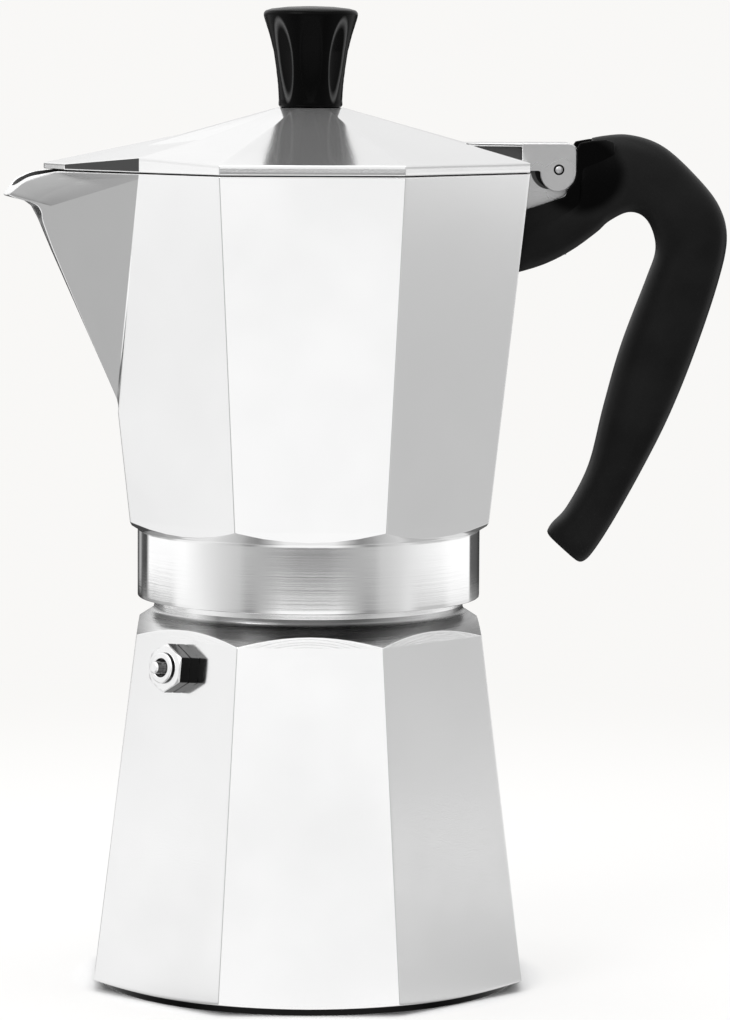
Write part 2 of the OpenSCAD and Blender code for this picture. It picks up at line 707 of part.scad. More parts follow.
module lid_hinge_ears() {
    plate_z = hinge_z + hinge_top;
    plate_x = lid_flat - (plate_z - lid_edge_z) / tan(lid_angle);
    ear_x = hinge_x - 8.1;
    nose_x = hinge_x + ear_r - 0.3;
    upright(ear_outer_y) polygon([[plate_x, plate_z], [plate_x + 2, plate_z - plate_t],
        [nose_x - 0.6, plate_z - plate_t], [nose_x - 0.6, plate_z - 0.8],
        [nose_x - 1.4, plate_z]]);
    difference() {
        upright(ear_outer_y) polygon([[ear_x, plate_z - 0.2], [ear_x, lid_slope_z(ear_x) - lid_wall],
            [lid_flat, lid_z], [hinge_x - 5.2, lid_z],
            [hinge_x - ear_r, hinge_z], [nose_x, hinge_z], [nose_x, plate_z - 1.6],
            [nose_x - 0.6, plate_z - 0.6]]);
        upright(ear_inner_y) polygon([[lid_flat, lid_z - CUT], [lid_flat, plate_z - plate_t],
            [hinge_x + FAR, plate_z - plate_t], [hinge_x + FAR, lid_z - CUT]]);
    }
    for (s = [-1, 1])
        translate([0, s * (ear_inner_y + ear_t / 2), 0])
            cross_cylinder(hinge_x, hinge_z, ear_r, ear_t / 2);
}

module lid() {
    color("silver") difference() {
        union() {
            faceted([[lid_flat, lid_z], [lid_flat, lid_edge_z], [boss_r, boss_z]]);
            beak_form();
            lid_hinge_ears();
        }
        faceted([[lid_flat - lid_wall, lid_z - CUT], [lid_flat - lid_wall, lid_edge_z - 0.5 * lid_wall],
            [boss_r, lid_ceiling_z], [0.1, lid_ceiling_z]]);
        beak_hollow();
        cross_cylinder(hinge_x, hinge_z, hinge_pin_r + hinge_fit, ear_outer_y + CUT);
        translate([0, 0, lid_z]) cylinder(h = FAR, r = knob_screw_r + TOUCH_FIT);
    }
}

module knob() {
    rim_h = 0.91 * knob_h;
    waist_r = lerp(knob_foot_r, knob_head_r, 0.42);
    crown = 0.6;
    groove_r = 4;
    color("black") difference() {
        translate([0, 0, knob_z]) rotate_extrude() polygon([
            [0, 0], [knob_foot_r - 0.5, 0], [knob_foot_r, 0.5], [knob_foot_r, 0.08 * knob_h],
            [lerp(knob_foot_r, waist_r, 0.5), 0.34 * knob_h], [waist_r, 0.57 * knob_h],
            [lerp(waist_r, knob_head_r, 0.48), 0.72 * knob_h], [knob_head_r - 0.15, 0.85 * knob_h],
            [knob_head_r, rim_h], [knob_head_r - 0.4, rim_h + 0.8],
            [knob_head_r - 1.4, knob_h - crown], [0.6 * knob_head_r, knob_h - 0.2], [0, knob_h]]);
        // Long grooves that follow the flare
        for (i = [0 : knob_grooves - 1])
            rotate([0, 0, (i + 0.5) * 360 / knob_grooves])
                translate([-waist_r - groove_r + knob_groove_depth, 0,
                    knob_z + 0.48 * knob_h])
                    rotate([0, -8, 0]) cylinder(h = 0.74 * knob_h, r = groove_r, center = true);
        translate([0, 0, knob_z - CUT])
            cylinder(h = knob_screw_depth + 2 * CUT, r = knob_screw_r + TOUCH_FIT);
    }
}

knob_screw_depth = 12;
lid_ceiling_z = boss_z - lid_wall - 1;
washer_t = 0.8;

module knob_washer() {
    color("lightgray") translate([0, 0, lid_ceiling_z - TOUCH_FIT - washer_t]) difference() {
        cylinder(h = washer_t, r = 3 * knob_screw_r);
        translate([0, 0, -CUT]) cylinder(h = 3 * CUT, r = knob_screw_r + TOUCH_FIT);
    }
}

module knob_screw() {
    head_t = 1.6;
    head_z = lid_ceiling_z - 2 * TOUCH_FIT - washer_t;
    color("lightgray") difference() {
        union() {
            translate([0, 0, head_z - head_t]) cylinder(h = head_t, r = 2 * knob_screw_r);
            translate([0, 0, head_z - CUT])
                cylinder(h = knob_z + knob_screw_depth - head_z, r = knob_screw_r);
        }
        translate([0, 0, head_z - head_t]) cube([6, 0.7, 1.6], center = true);
    }
}

// ---- Handle ----------------------------------------------------------------

// Ribs of the hooked grip, from the hinge to the tip: outer point, inner point
// (each as distance out from the hinge and height above the rim) and half width
grip_ribs = [
    [[4.5, 6.5], [4.4, -16.7], root_half_w],
    [[10.2, 7.5], [8.8, -13.6], root_half_w],
    [[16.4, 7.7], [12.6, -10.6], lerp(root_half_w, grip_half_w, 0.5)],
    [[23.5, 5.4], [16.2, -8.9], lerp(root_half_w, grip_half_w, 0.8)],
    [[30.8, -0.8], [19.6, -10.1], grip_half_w],
    [[36, -7.4], [21.6, -13.6], grip_half_w],
    [[37.8, -14.6], [22.1, -17.8], grip_half_w],
    [[35.9, -24.5], [20.2, -23.5], grip_half_w],
    [[30.9, -40], [14.6, -38.6], grip_half_w],
    [[25.6, -53.5], [10.8, -52.4], grip_half_w],
    [[20, -65], [7.6, -65.6], 0.95 * grip_half_w],
    [[13, -77.9], [2.8, -75], 0.85 * grip_half_w],
    [[8.2, -85.4], [-0.4, -78.4], 0.76 * grip_half_w],
    [[5.8, -87.4], [-1.8, -80.6], 0.55 * grip_half_w]];

root_z0 = -9.6;
root_z1 = -22.6;
root_ribs = [
    [[collector_flat(rim_z + root_z0) + handle_gap - hinge_x, root_z0],
        [collector_flat(rim_z + root_z1) + handle_gap - hinge_x, root_z1], root_half_w],
    [[-2.2, -7.9], [-2.6, -20.4], root_half_w],
    [[3.6, -4.4], [3.7, -17.2], root_half_w],
    [[10.2, 0], [10, -13.2], 0.95 * root_half_w]];

// Catmull-Rom value between b and c
function blend_at(a, b, c, d, t) = 0.5 * (2 * b + (c - a) * t
    + (2 * a - 5 * b + 4 * c - d) * t * t + (3 * b - a - 3 * c + d) * t * t * t);

// One rib at position u along the list of ribs
function rib_at(ribs, u) =
    let (last = len(ribs) - 1, i = min(floor(u), last - 1), t = u - i,
        a = ribs[max(i - 1, 0)], b = ribs[i], c = ribs[i + 1], d = ribs[min(i + 2, last)])
    [blend_at(a[0], b[0], c[0], d[0], t), blend_at(a[1], b[1], c[1], d[1], t),
        blend_at(a[2], b[2], c[2], d[2], t)];

RIB_SIDES = 20;
SQUARENESS = 2.6;
function round_power(v) = sign(v) * pow(abs(v), 2 / SQUARENESS);

// Rounded ring of points around a rib
function rib_ring(rib) =
    [for (k = [0 : RIB_SIDES - 1])
        let (a = 360 * k / RIB_SIDES, mid = (rib[0] + rib[1]) / 2, arm = (rib[0] - rib[1]) / 2,
            p = mid + arm * round_power(cos(a)))
        [hinge_x + p[0], rib[2] * round_power(sin(a)), rim_z + p[1]]];

// Closed solid through a list of ribs, with steps rings between each two
module ribbed(ribs, steps) {
    count = (len(ribs) - 1) * steps;
    points = [for (j = [0 : count]) each rib_ring(rib_at(ribs, j / steps))];
    n = RIB_SIDES;
    sides = [for (j = [0 : count - 1]) for (k = [0 : n - 1])
        [j * n + k, j * n + (k + 1) % n, (j + 1) * n + (k + 1) % n, (j + 1) * n + k]];
    first = [for (k = [n - 1 : -1 : 0]) k];
    last = [for (k = [0 : n - 1]) count * n + k];
    polyhedron(points = points, faces = concat([first, last], sides), convexity = 6);
}

module handle() {
    slot_y = ear_outer_y + 0.4;
    color("black") difference() {
        union() {
            ribbed(grip_ribs, 3);
            ribbed(root_ribs, 2);
        }
        // Room for the lid's ears and top plate as the lid swings
        upright(slot_y) polygon([[collector_foot_flat, rim_z + 20], [collector_foot_flat, lug_foot_z + 1],
            [hinge_x - 1, hinge_z - sweep_r], [hinge_x + 3, hinge_z - sweep_r],
            [hinge_x + sweep_r, hinge_z - 3], [hinge_x + sweep_r + 1.2, hinge_z + 4],
            [hinge_x + sweep_r + 1.2, rim_z + 20]]);
        // Seat of the collector's lug and tongue
        upright(knuckle_half_w + handle_gap) polygon([[collector_foot_flat, lug_foot_z - handle_gap],
            [hinge_x - 1, lug_web_z - handle_gap], [lug_nose[0] + handle_gap, rim_z - 5.6],
            [lug_nose[0] + handle_gap, rim_z + 2],
            [collector_foot_flat, rim_z + 2]]);
        upright(tongue_half_w + handle_gap) polygon([[collector_foot_flat, tongue_z - handle_gap],
            [tongue_end_x + handle_gap, tongue_z - handle_gap],
            [tongue_end_x + handle_gap, rim_z - 5],
            [collector_foot_flat, rim_z - 5]]);
        translate([handle_screw_x, 0, tongue_z - 8])
            cylinder(h = 12, r = handle_screw_r + handle_gap);
        translate([handle_screw_x, 0, tongue_z - screw_cover - 8])
            cylinder(h = 8, r = 2 * handle_screw_r + 0.3);
    }
}

module handle_screw() {
    head_z = tongue_z - screw_cover - TOUCH_FIT;
    head_t = 1.4;
    color("lightgray") difference() {
        union() {
            translate([handle_screw_x, 0, head_z - head_t]) cylinder(h = head_t, r = 2 * handle_screw_r);
            translate([handle_screw_x, 0, head_z - CUT])
                cylinder(h = screw_cover + tongue_h - 1, r = handle_screw_r);
        }
        translate([handle_screw_x, 0, head_z - head_t]) cube([4.4, 0.6, 1.2], center = true);
    }
}

boiler();
valve_body();
valve_cap();
valve_nut();
valve_washer();
valve_spring();
valve_stem();
funnel_tube();
basket_cup();
basket_screen();
gasket();
filter_plate();
collector();
chimney();
handle();
handle_screw();
hinge_pin();
lid();
knob();
knob_screw();
knob_washer();
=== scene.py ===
"""Stovetop coffee pot: surfaces, finishes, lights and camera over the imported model.

Shapes are worked out in millimetres as whole numpy arrays and put into meshes in
metres. A shape is a net of control rows and columns whose corners are then rounded,
first around the pot and then along its profile.
"""

from __future__ import annotations

import logging
import math
from dataclasses import dataclass
from enum import Enum
from typing import Callable, Sequence

import bpy
import numpy as np
from mathutils import Matrix, Vector

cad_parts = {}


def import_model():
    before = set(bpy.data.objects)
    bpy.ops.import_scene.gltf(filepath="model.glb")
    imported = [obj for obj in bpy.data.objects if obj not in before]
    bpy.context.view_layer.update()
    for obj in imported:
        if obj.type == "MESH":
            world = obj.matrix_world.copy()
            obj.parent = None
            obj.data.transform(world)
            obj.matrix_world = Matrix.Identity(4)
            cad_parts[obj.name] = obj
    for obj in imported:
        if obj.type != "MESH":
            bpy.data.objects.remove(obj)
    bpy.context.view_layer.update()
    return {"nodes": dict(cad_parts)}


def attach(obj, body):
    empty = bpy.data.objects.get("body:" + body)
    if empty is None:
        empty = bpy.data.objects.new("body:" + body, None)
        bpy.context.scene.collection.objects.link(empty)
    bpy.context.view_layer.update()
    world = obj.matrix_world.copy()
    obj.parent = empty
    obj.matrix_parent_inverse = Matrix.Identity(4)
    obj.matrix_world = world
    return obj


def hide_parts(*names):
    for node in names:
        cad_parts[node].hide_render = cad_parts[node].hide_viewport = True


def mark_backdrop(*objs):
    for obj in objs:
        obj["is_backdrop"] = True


Array = np.ndarray
Object = bpy.types.Object
Material = bpy.types.Material
Node = bpy.types.Node
Socket = bpy.types.NodeSocket
Tree = bpy.types.NodeTree
Pair = tuple[float, float]
Triple = tuple[float, float, float]
log = logging.getLogger("coffee_pot")

MM = 0.001
HALF_SIDE = math.radians(22.5)
MIRROR = np.array([1.0, -1.0, 1.0])
ARC = 5

# Heights and distances shared by the pieces, as in the part's source, in millimetres
SHOULDER_Z = 79.0
SKIRT_Z = 86.17
BAND_Z = 101.27
FLOOR_Z = 103.27
CEILING_Z = 100.27
RIM_Z = 180.87
LID_Z = 181.17
LID_EDGE_Z = 183.27
LID_SLOPE = math.tan(math.radians(15.9))
LID_FLAT = 47.8
BOSS_R = 7.4
BOSS_Z = LID_EDGE_Z + (LID_FLAT - BOSS_R) * LID_SLOPE
HINGE_X = 54.8
HINGE_Z = 181.47
THREAD_PITCH = 2.4
THREAD_TURNS = 3
VALVE_Z = 73.0
LUG_Z = RIM_Z - 9.4

# The knob's grooves: middle above the knob's foot, half length, and half width in pitches
GROOVE_Z = 10.6
GROOVE_HALF = 9.3
GROOVE_WIDE = 0.36


class Slot(str, Enum):
    """Material slots of the record."""

    POLISHED = "aluminium_polished"
    CAST = "aluminium_cast"
    BRASS = "brass"
    STEEL = "steel"
    BAKELITE = "bakelite"


# ---------------------------------------------------------------- shared surfaces


def rounded(points: Array, radius: Array | float, closed: bool, arc: int = ARC,
            between: int = 2, support: float = 0.6, least: Array | float = 0.06) -> Array:
    """Rounds the corners of a chain of points, for many chains at once.

    Each corner becomes a quadratic curve from a point short of it to a point past it,
    radius * tan(half the turn) away, and each straight piece gets a point close to
    either end so that its shading stays flat.

    Args:
        points: control points, shape (n, m, 3): n along the chain, m chains.
        radius: corner radius, one number or an array that fits (n, m).
        closed: whether the chain's last point joins its first.
        arc: points on each corner.
        between: points between the two close ones of a straight piece.
        support: distance of the close points from a corner.
        least: smallest reach of a corner's curve, one number or an array that fits (n, m).

    Returns:
        The chain's points, shape (k, m, 3), with arc + between + 2 for each control point.
    """
    run = np.roll(points, -1, axis=0) - points
    length = np.maximum(np.linalg.norm(run, axis=2), 1e-7)
    way = run / length[..., None]
    before = np.roll(way, 1, axis=0)
    cosine = np.clip((before * way).sum(2), -0.9999, 1.0)
    tangent = np.minimum(np.sqrt((1 - cosine) / (1 + cosine)), 3.0)
    shorter = np.minimum(length, np.roll(length, 1, axis=0))
    reach = np.minimum(np.maximum(radius * tangent, least), 0.42 * shorter)
    if not closed:
        reach[[0, -1]] = 0.0
    u = np.linspace(0.0, 1.0, arc)[None, :, None, None]
    first = (points - before * reach[..., None])[:, None]
    last = (points + way * reach[..., None])[:, None]
    arcs = (1 - u) ** 2 * first + 2 * u * (1 - u) * points[:, None] + u ** 2 * last
    clear = np.maximum(length - reach - np.roll(reach, -1, axis=0), 0.0)
    near = np.minimum(support, 0.3 * clear)
    share = np.linspace(0.0, 1.0, between + 2)[None, :, None]
    along = (reach + near)[:, None] + share * (clear - 2 * near)[:, None]
    straights = points[:, None] + way[:, None] * along[..., None]
    chain = np.concatenate([arcs, straights], axis=1).reshape(-1, *points.shape[1:])
    return chain if closed else chain[arc - 1:(len(points) - 1) * (arc + between + 2) + 1]


def rings(corners: Array, radius: Array | float, between: int, support: float = 0.7,
          least: Array | float = 0.06) -> Array:
    """Rounds rows of corners, shape (rows, corners, 3), into closed rings, shape (rows, columns, 3).

    radius and least are one number, one for each corner, or one for each row and corner.

    Args:
        corners: shape (rows, corners, 3).
        radius: corner radius: one number, one for each corner, or one for each row and corner.
        between: points on each straight piece besides its two close ones.
        support: distance of the close points from a corner.
        least: smallest reach of a corner's curve, in the same forms as radius.

    Returns:
        Shape (rows, columns, 3).
    """
    made = rounded(np.swapaxes(corners, 0, 1), np.atleast_2d(radius).T, True, ARC, between, support,
                   np.atleast_2d(least).T)
    return np.swapaxes(made, 0, 1)


def turned(radius: Array | float, z: Array | float, bearing: Array) -> Array:
    """Turned rows: radius * (cos, sin) of each column's bearing, at height z."""
    r, h, a = np.broadcast_arrays(radius, z, bearing)
    return np.stack([r * np.cos(a), r * np.sin(a), h], axis=-1)


def circle(columns: int) -> Array:
    """Bearings of evenly spaced columns round an axis."""
    return np.linspace(0, 2 * math.pi, columns, endpoint=False)


def bearings(ring: Array) -> Array:
    """Bearing of each column of a ring about the axis, unwound so that it rises steadily."""
    return np.unwrap(np.arctan2(ring[:, 1], ring[:, 0]))


def eased(profile: Sequence[Pair], *settings: float) -> tuple[Array, Array]:
    """Radii and heights, shape (n, 1) each, of a profile of points with its corners rounded."""
    line = rounded(np.array([[r, 0.0, z] for r, z in profile])[:, None], *settings)
    return line[..., 0], line[..., 2]


def octagon(flat: float, z: float) -> Array:
    """Corners of an eight-sided ring, at 22.5 degrees and every 45 on, flat / cos(22.5 degrees) out."""
    return turned(flat / math.cos(HALF_SIDE), z, HALF_SIDE + np.arange(8) * 2 * HALF_SIDE)


def meeting_height(section: Callable[[Array], Array], cone: Callable[[Array], Array],
                   low: float, high: float, columns: int) -> Array:
    """Height in each column where a section meets a cone, by halving the interval.

    The gap is the section's distance from the axis less the cone's radius; the half that
    keeps the gap's change of sign is kept 40 times over.

    Args:
        section: gives the points of the section for a height in each column.
        cone: gives the cone's radius for a height in each column.
        low: lower end of the interval.
        high: upper end of the interval.
        columns: number of columns.

    Returns:
        Shape (columns,).
    """
    lo, hi = np.full(columns, low), np.full(columns, high)
    sign = np.sign(np.hypot(*section(lo)[:, :2].T) - cone(lo))
    for _ in range(40):
        mid = 0.5 * (lo + hi)
        same = np.sign(np.hypot(*section(mid)[:, :2].T) - cone(mid)) == sign
        lo, hi = np.where(same, mid, lo), np.where(same, hi, mid)
    return 0.5 * (lo + hi)


def mitred(corners: Array, inset: Array | float) -> Array:
    """Moves rings of corners in by inset, each along the mitre of its two sides.

    With unit normals a and b of the sides, seen from above, the move is
    inset * (a + b) / (1 + a . b).

    Args:
        corners: rings that go round anticlockwise, shape (..., corners, 3).
        inset: distance inwards, one number or an array that fits the corners.

    Returns:
        The moved corners; their heights stay.
    """
    run = (np.roll(corners, -1, axis=-2) - corners)[..., :2]
    run = run / np.maximum(np.linalg.norm(run, axis=-1, keepdims=True), 1e-9)
    ahead = np.stack([run[..., 1], -run[..., 0]], axis=-1)
    behind = np.roll(ahead, 1, axis=-2)
    step = (ahead + behind) / np.maximum(1 + (ahead * behind).sum(-1, keepdims=True), 0.3)
    out = np.array(corners, float)
    out[..., :2] -= step * np.broadcast_to(inset, corners.shape[:-1])[..., None]
    return out


def grid_faces(rows: int, columns: int, loop: bool) -> Array:
    """Four-sided faces of a net whose columns go round and whose rows may close on themselves.

    Args:
        rows: number of rows.
        columns: number of columns.
        loop: whether the last row joins the first.

    Returns:
        Point numbers, shape (faces, 4).
    """
    below = np.arange(rows if loop else rows - 1)[:, None] * columns
    above = (below + columns) % (rows * columns)
    c = np.arange(columns)
    nxt = (c + 1) % columns
    return np.stack([below + c, below + nxt, above + nxt, above + c], axis=-1).reshape(-1, 4)


def mesh_object(name: str, points: Array, faces: Sequence[Array], material: Material,
                smooth: bool = True) -> Object:
    """Puts points, in millimetres, and faces into a new mesh object at the origin.

    Args:
        name: the object's name.
        points: shape (n, 3).
        faces: arrays of faces, one array for each number of corners.
        material: its finish.
        smooth: whether it is shaded smooth.

    Returns:
        The object, linked to the scene.
    """
    mesh = bpy.data.meshes.new(name)
    loops = np.concatenate([f.reshape(-1) for f in faces]).astype(np.int32)
    sizes = np.concatenate([np.full(len(f), f.shape[1]) for f in faces]).astype(np.int32)
    mesh.vertices.add(len(points))
    mesh.vertices.foreach_set("co", np.ascontiguousarray(points * MM, dtype=np.float32).ravel())
    mesh.loops.add(len(loops))
    mesh.loops.foreach_set("vertex_index", loops)
    mesh.polygons.add(len(sizes))
    mesh.polygons.foreach_set("loop_start", np.concatenate([[0], np.cumsum(sizes)[:-1]]).astype(np.int32))
    mesh.polygons.foreach_set("use_smooth", np.full(len(sizes), smooth))
    mesh.update(calc_edges=True)
    mesh.validate()
    mesh.materials.append(material)
    obj = bpy.data.objects.new(name, mesh)
    bpy.context.scene.collection.objects.link(obj)
    return obj


def outward(points: Array, faces: Sequence[Array]) -> list[Array]:
    """Turns every face over if the closed surface's volume comes out negative.

    The volume is the sum over fans of triangles of a . (b x c) / 6.

    Args:
        points: shape (n, 3).
        faces: arrays of point numbers, one for each number of corners.

    Returns:
        The faces, as they were or all turned over.
    """
    total = 0.0
    for f in faces:
        for k in range(1, f.shape[1] - 1):
            total += float((points[f[:, 0]] * np.cross(points[f[:, k]], points[f[:, k + 1]])).sum())
    return list(faces) if total >= 0 else [f[:, ::-1] for f in faces]


def net_object(name: str, net: Array, material: Material, loop: bool = False,
               place: Matrix | None = None) -> Object:
    """Closed object from a net of rings; a net that isn't a loop is closed by two fans.

    Args:
        name: the object's name.
        net: shape (rows, columns, 3).
        material: its finish.
        loop: whether the last ring joins the first.
        place: where the net's own axis stands, in millimetres.

    Returns:
        The object.
    """
    if place is not None:
        turn = np.array(place)
        net = net @ turn[:3, :3].T + turn[:3, 3]
    rows, columns = net.shape[:2]
    points = net.reshape(-1, 3)
    faces = [grid_faces(rows, columns, loop)]
    if not loop:
        points = np.concatenate([points, net[0].mean(0)[None], net[-1].mean(0)[None]])
        c = np.arange(columns)
        nxt, base, middle = (c + 1) % columns, (rows - 1) * columns, np.full(columns, rows * columns)
        faces += [np.stack([middle, nxt, c], axis=-1), np.stack([middle + 1, base + c, base + nxt], axis=-1)]
    return mesh_object(name, points, outward(points, faces), material)


def plate(name: str, outline: Sequence[Pair], low: float, high: float, material: Material,
          corner: float = 0.5, edge: float = 0.3) -> Object:
    """Plate with an outline in the XZ plane, from Y = low to Y = high, with eased edges.

    Its rings are the outline moved in by edge at both faces and the outline itself
    edge further in along Y, with a quarter curve between them.

    Args:
        name: the object's name.
        outline: corners of X and height.
        low: Y of the near face.
        high: Y of the far face.
        material: its finish.
        corner: radius of the outline's corners.
        edge: radius of the edges round both faces.

    Returns:
        The object.
    """
    ring = rings(np.array([[[x, z, 0.0] for x, z in outline]]), corner, 1, 0.3)
    t = np.linspace(0.0, math.pi / 2, 4)
    inset, deep = edge * (1 - np.sin(t)), edge * (1 - np.cos(t))
    depth = low + np.concatenate([deep, (high - low) - deep[::-1]])
    x, z = ring[0, :, 0], ring[0, :, 1]
    inwards = np.sign((x * np.roll(z, -1) - np.roll(x, -1) * z).sum())
    stack = mitred(np.repeat(ring, len(depth), 0), (inwards * np.concatenate([inset, inset[::-1]]))[:, None])
    rows, columns = stack.shape[:2]
    points = np.stack([stack[..., 0], np.repeat(depth[:, None], columns, 1), stack[..., 1]], axis=-1).reshape(-1, 3)
    ends = np.arange(rows * columns).reshape(rows, columns)
    faces = [grid_faces(rows, columns, False), ends[:1, ::-1], ends[-1:]]
    made = mesh_object(name, points, outward(points, faces), material)
    made.data.polygons[-1].use_smooth = made.data.polygons[-2].use_smooth = False
    return made


def lathe(name: str, profile: Sequence[Pair], material: Material, radius: float, columns: int,
          loop: bool, place: Matrix, support: float) -> Object:
    """Turned piece: a profile of (radius, height) points with eased corners, carried round an axis.

    Args:
        name: the object's name.
        profile: from one end to the other, or round and back where loop is set.
        material: its finish.
        radius: how much the corners are eased.
        columns: columns around.
        loop: whether the profile closes on itself.
        place: where its own axis stands, in millimetres.
        support: distance of the close points from a corner.

    Returns:
        The object.
    """
    net = turned(*eased(profile, radius, loop, ARC, 1, support), circle(columns))
    return net_object(name, net, material, loop, place)


def paint(obj: Object, columns: int, patches: Sequence[tuple[int | None, ...]], *materials: Material) -> Object:
    """Gives patches of a net's faces to further materials.

    Args:
        obj: an object made from a net.
        columns: the net's columns.
        patches: the material's index, the first row and the row after the last, and where
            not all columns count, the same for the columns; later ones lie over earlier ones.
        materials: the further materials, from index 1 on.

    Returns:
        The object.
    """
    for material in materials:
        obj.data.materials.append(material)
    kind = np.zeros((len(obj.data.polygons) // columns, columns), np.int32)
    for index, first, end, *across in patches:
        kind[first:end, slice(*across or (None,))] = index
    obj.data.polygons.foreach_set("material_index", kind.ravel())
    return obj


def modify(obj: Object, name: str, kind: str, **settings: object) -> None:
    """Adds a modifier with its settings."""
    made = obj.modifiers.new(name, kind)
    for key, value in settings.items():
        setattr(made, key, value)


def dress(obj: Object, body: str, slot: Slot, *replaced: str) -> Object:
    """Sets the body a piece rides on and hides the nodes it stands for.

    Args:
        obj: the piece.
        body: name of the body.
        slot: not used.
        *replaced: names of the nodes.

    Returns:
        The object.
    """
    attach(obj, body)
    if replaced:
        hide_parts(*replaced)
    log.info("%s rides on %s, %d points", obj.name, body, len(obj.data.vertices))
    return obj


# ---------------------------------------------------------------- shader parts


def rgba(colour: Triple | float, share: float = 1.0) -> tuple[float, float, float, float]:
    """Colour, or a grey level, times a share and with full alpha."""
    red, green, blue = colour if isinstance(colour, tuple) else (colour,) * 3
    return red * share, green * share, blue * share, 1.0


class Nodes:
    """A node tree, with short calls to add, set and join its nodes."""

    def __init__(self, tree: Tree) -> None:
        """Empties the tree."""
        self.tree = tree
        tree.nodes.clear()

    def add(self, kind: str, inputs: dict[int | str, object] | None = None, **settings: object) -> Node:
        """Adds a node.

        Args:
            kind: its type, without the leading ShaderNode.
            inputs: a value or another node's socket for each input that isn't left alone.
            settings: the node's own properties.

        Returns:
            The node.
        """
        made = self.tree.nodes.new(kind if kind.startswith("Node") else f"ShaderNode{kind}")
        for key, value in settings.items():
            setattr(made, key, value)
        for key, value in (inputs or {}).items():
            if isinstance(value, Socket):
                self.tree.links.new(value, made.inputs[key])
            else:
                made.inputs[key].default_value = value
        return made

    def place(self) -> Socket:
        """The object's own coordinates."""
        return self.add("TexCoord").outputs["Object"]

    def split(self, vector: Socket) -> Sequence[Socket]:
        """X, Y and Z of a vector."""
        return self.add("SeparateXYZ", {0: vector}).outputs

    def join(self, *parts: Socket | float) -> Socket:
        """Vector of the given parts, the rest being 0."""
        return self.add("CombineXYZ", dict(enumerate(parts))).outputs[0]

    def maths(self, kind: str, *values: Socket | float) -> Socket:
        """Result of one Math node."""
        return self.add("Math", dict(enumerate(values)), operation=kind).outputs[0]

    def times(self, first: Socket, *others: Socket | float) -> Socket:
        """Product of several values."""
        for other in others:
            first = self.maths("MULTIPLY", first, other)
        return first

    def vector(self, kind: str, *values: Socket | Triple) -> Socket:
        """Result of one Vector Math node, its Value where it gives a number."""
        made = self.add("VectorMath", dict(enumerate(values)), operation=kind)
        return made.outputs["Value" if kind in ("LENGTH", "DOT_PRODUCT") else "Vector"]

    def scaled(self, vector: Socket, share: Socket | float) -> Socket:
        """A vector times a number."""
        return self.add("VectorMath", {0: vector, "Scale": share}, operation="SCALE").outputs[0]

    def spread(self, value: Socket, start: Pair, end: Pair = (0.0, 1.0), smooth: bool = False) -> Socket:
        """A value moved from one range to another, held at the ends."""
        keys = ("Value", "From Min", "From Max", "To Min", "To Max")
        return self.add("MapRange", dict(zip(keys, (value, *start, *end))),
                        interpolation_type="SMOOTHSTEP" if smooth else "LINEAR").outputs["Result"]

    def blend(self, kind: str, share: Socket | float, a: object, b: object, **settings: object) -> Socket:
        """Mix of two numbers, vectors or colours: a at share 0 and b at share 1."""
        first, out = {"FLOAT": (2, 0), "VECTOR": (4, 1), "RGBA": (6, 2)}[kind]
        return self.add("Mix", {0: share, first: a, first + 1: b}, data_type=kind, **settings).outputs[out]

    def either(self, share: Socket, a: Socket, b: Socket) -> Socket:
        """Mix of two shaders."""
        return self.add("MixShader", {0: share, 1: a, 2: b}).outputs[0]

    def ramp(self, at: Socket, stops: Sequence[Pair]) -> Socket:
        """Colour ramp of (position, grey level) stops, in rising order.

        Args:
            at: position on the ramp.
            stops: the stops.

        Returns:
            The ramp's colour.
        """
        made = self.add("ValToRGB", {0: at})
        elements = made.color_ramp.elements
        while len(elements) > 1:
            elements.remove(elements[-1])
        elements[0].position, elements[0].color = stops[0][0], rgba(stops[0][1])
        for position, level in stops[1:]:
            elements.new(position).color = rgba(level)
        return made.outputs[0]

    def group(self, tree: Tree, **inputs: object) -> Sequence[Socket]:
        """Outputs of a shared group with its inputs set."""
        return self.add("Group", inputs, node_tree=tree).outputs


class Shader(Nodes):
    """A material's node tree."""

    def __init__(self, name: str) -> None:
        """Starts an empty material."""
        self.material = bpy.data.materials.new(name)
        self.material.use_nodes = True
        super().__init__(self.material.node_tree)

    def close(self, surface: Socket) -> Material:
        """Gives the material its surface."""
        self.add("OutputMaterial", {"Surface": surface})
        return self.material


class Group(Nodes):
    """A shared node group."""

    def __init__(self, name: str, takes: dict[str, float | None], gives: dict[str, str]) -> None:
        """Starts the group.

        Args:
            name: its name.
            takes: its inputs; a number is a default, and None stands for a vector.
            gives: its outputs and their types.
        """
        super().__init__(bpy.data.node_groups.new(name, "ShaderNodeTree"))
        for key, default in takes.items():
            kind = "NodeSocketVector" if default is None else "NodeSocketFloat"
            made = self.tree.interface.new_socket(name=key, in_out="INPUT", socket_type=kind)
            if default is not None:
                made.default_value = default
        for key, kind in gives.items():
            self.tree.interface.new_socket(name=key, in_out="OUTPUT", socket_type=f"NodeSocket{kind}")
        self.given = self.add("NodeGroupInput").outputs

    def bump(self, height: Socket) -> Socket:
        """Facing, tilted by a height of up to 0.1 mm times Depth."""
        return self.add("Bump", {"Distance": 0.1 * MM, "Strength": self.given["Depth"], "Height": height,
                                 "Normal": self.given["Facing"]}).outputs["Normal"]

    def close(self, **results: Socket) -> Tree:
        """Sets the group's outputs."""
        self.add("NodeGroupOutput", results)
        return self.tree


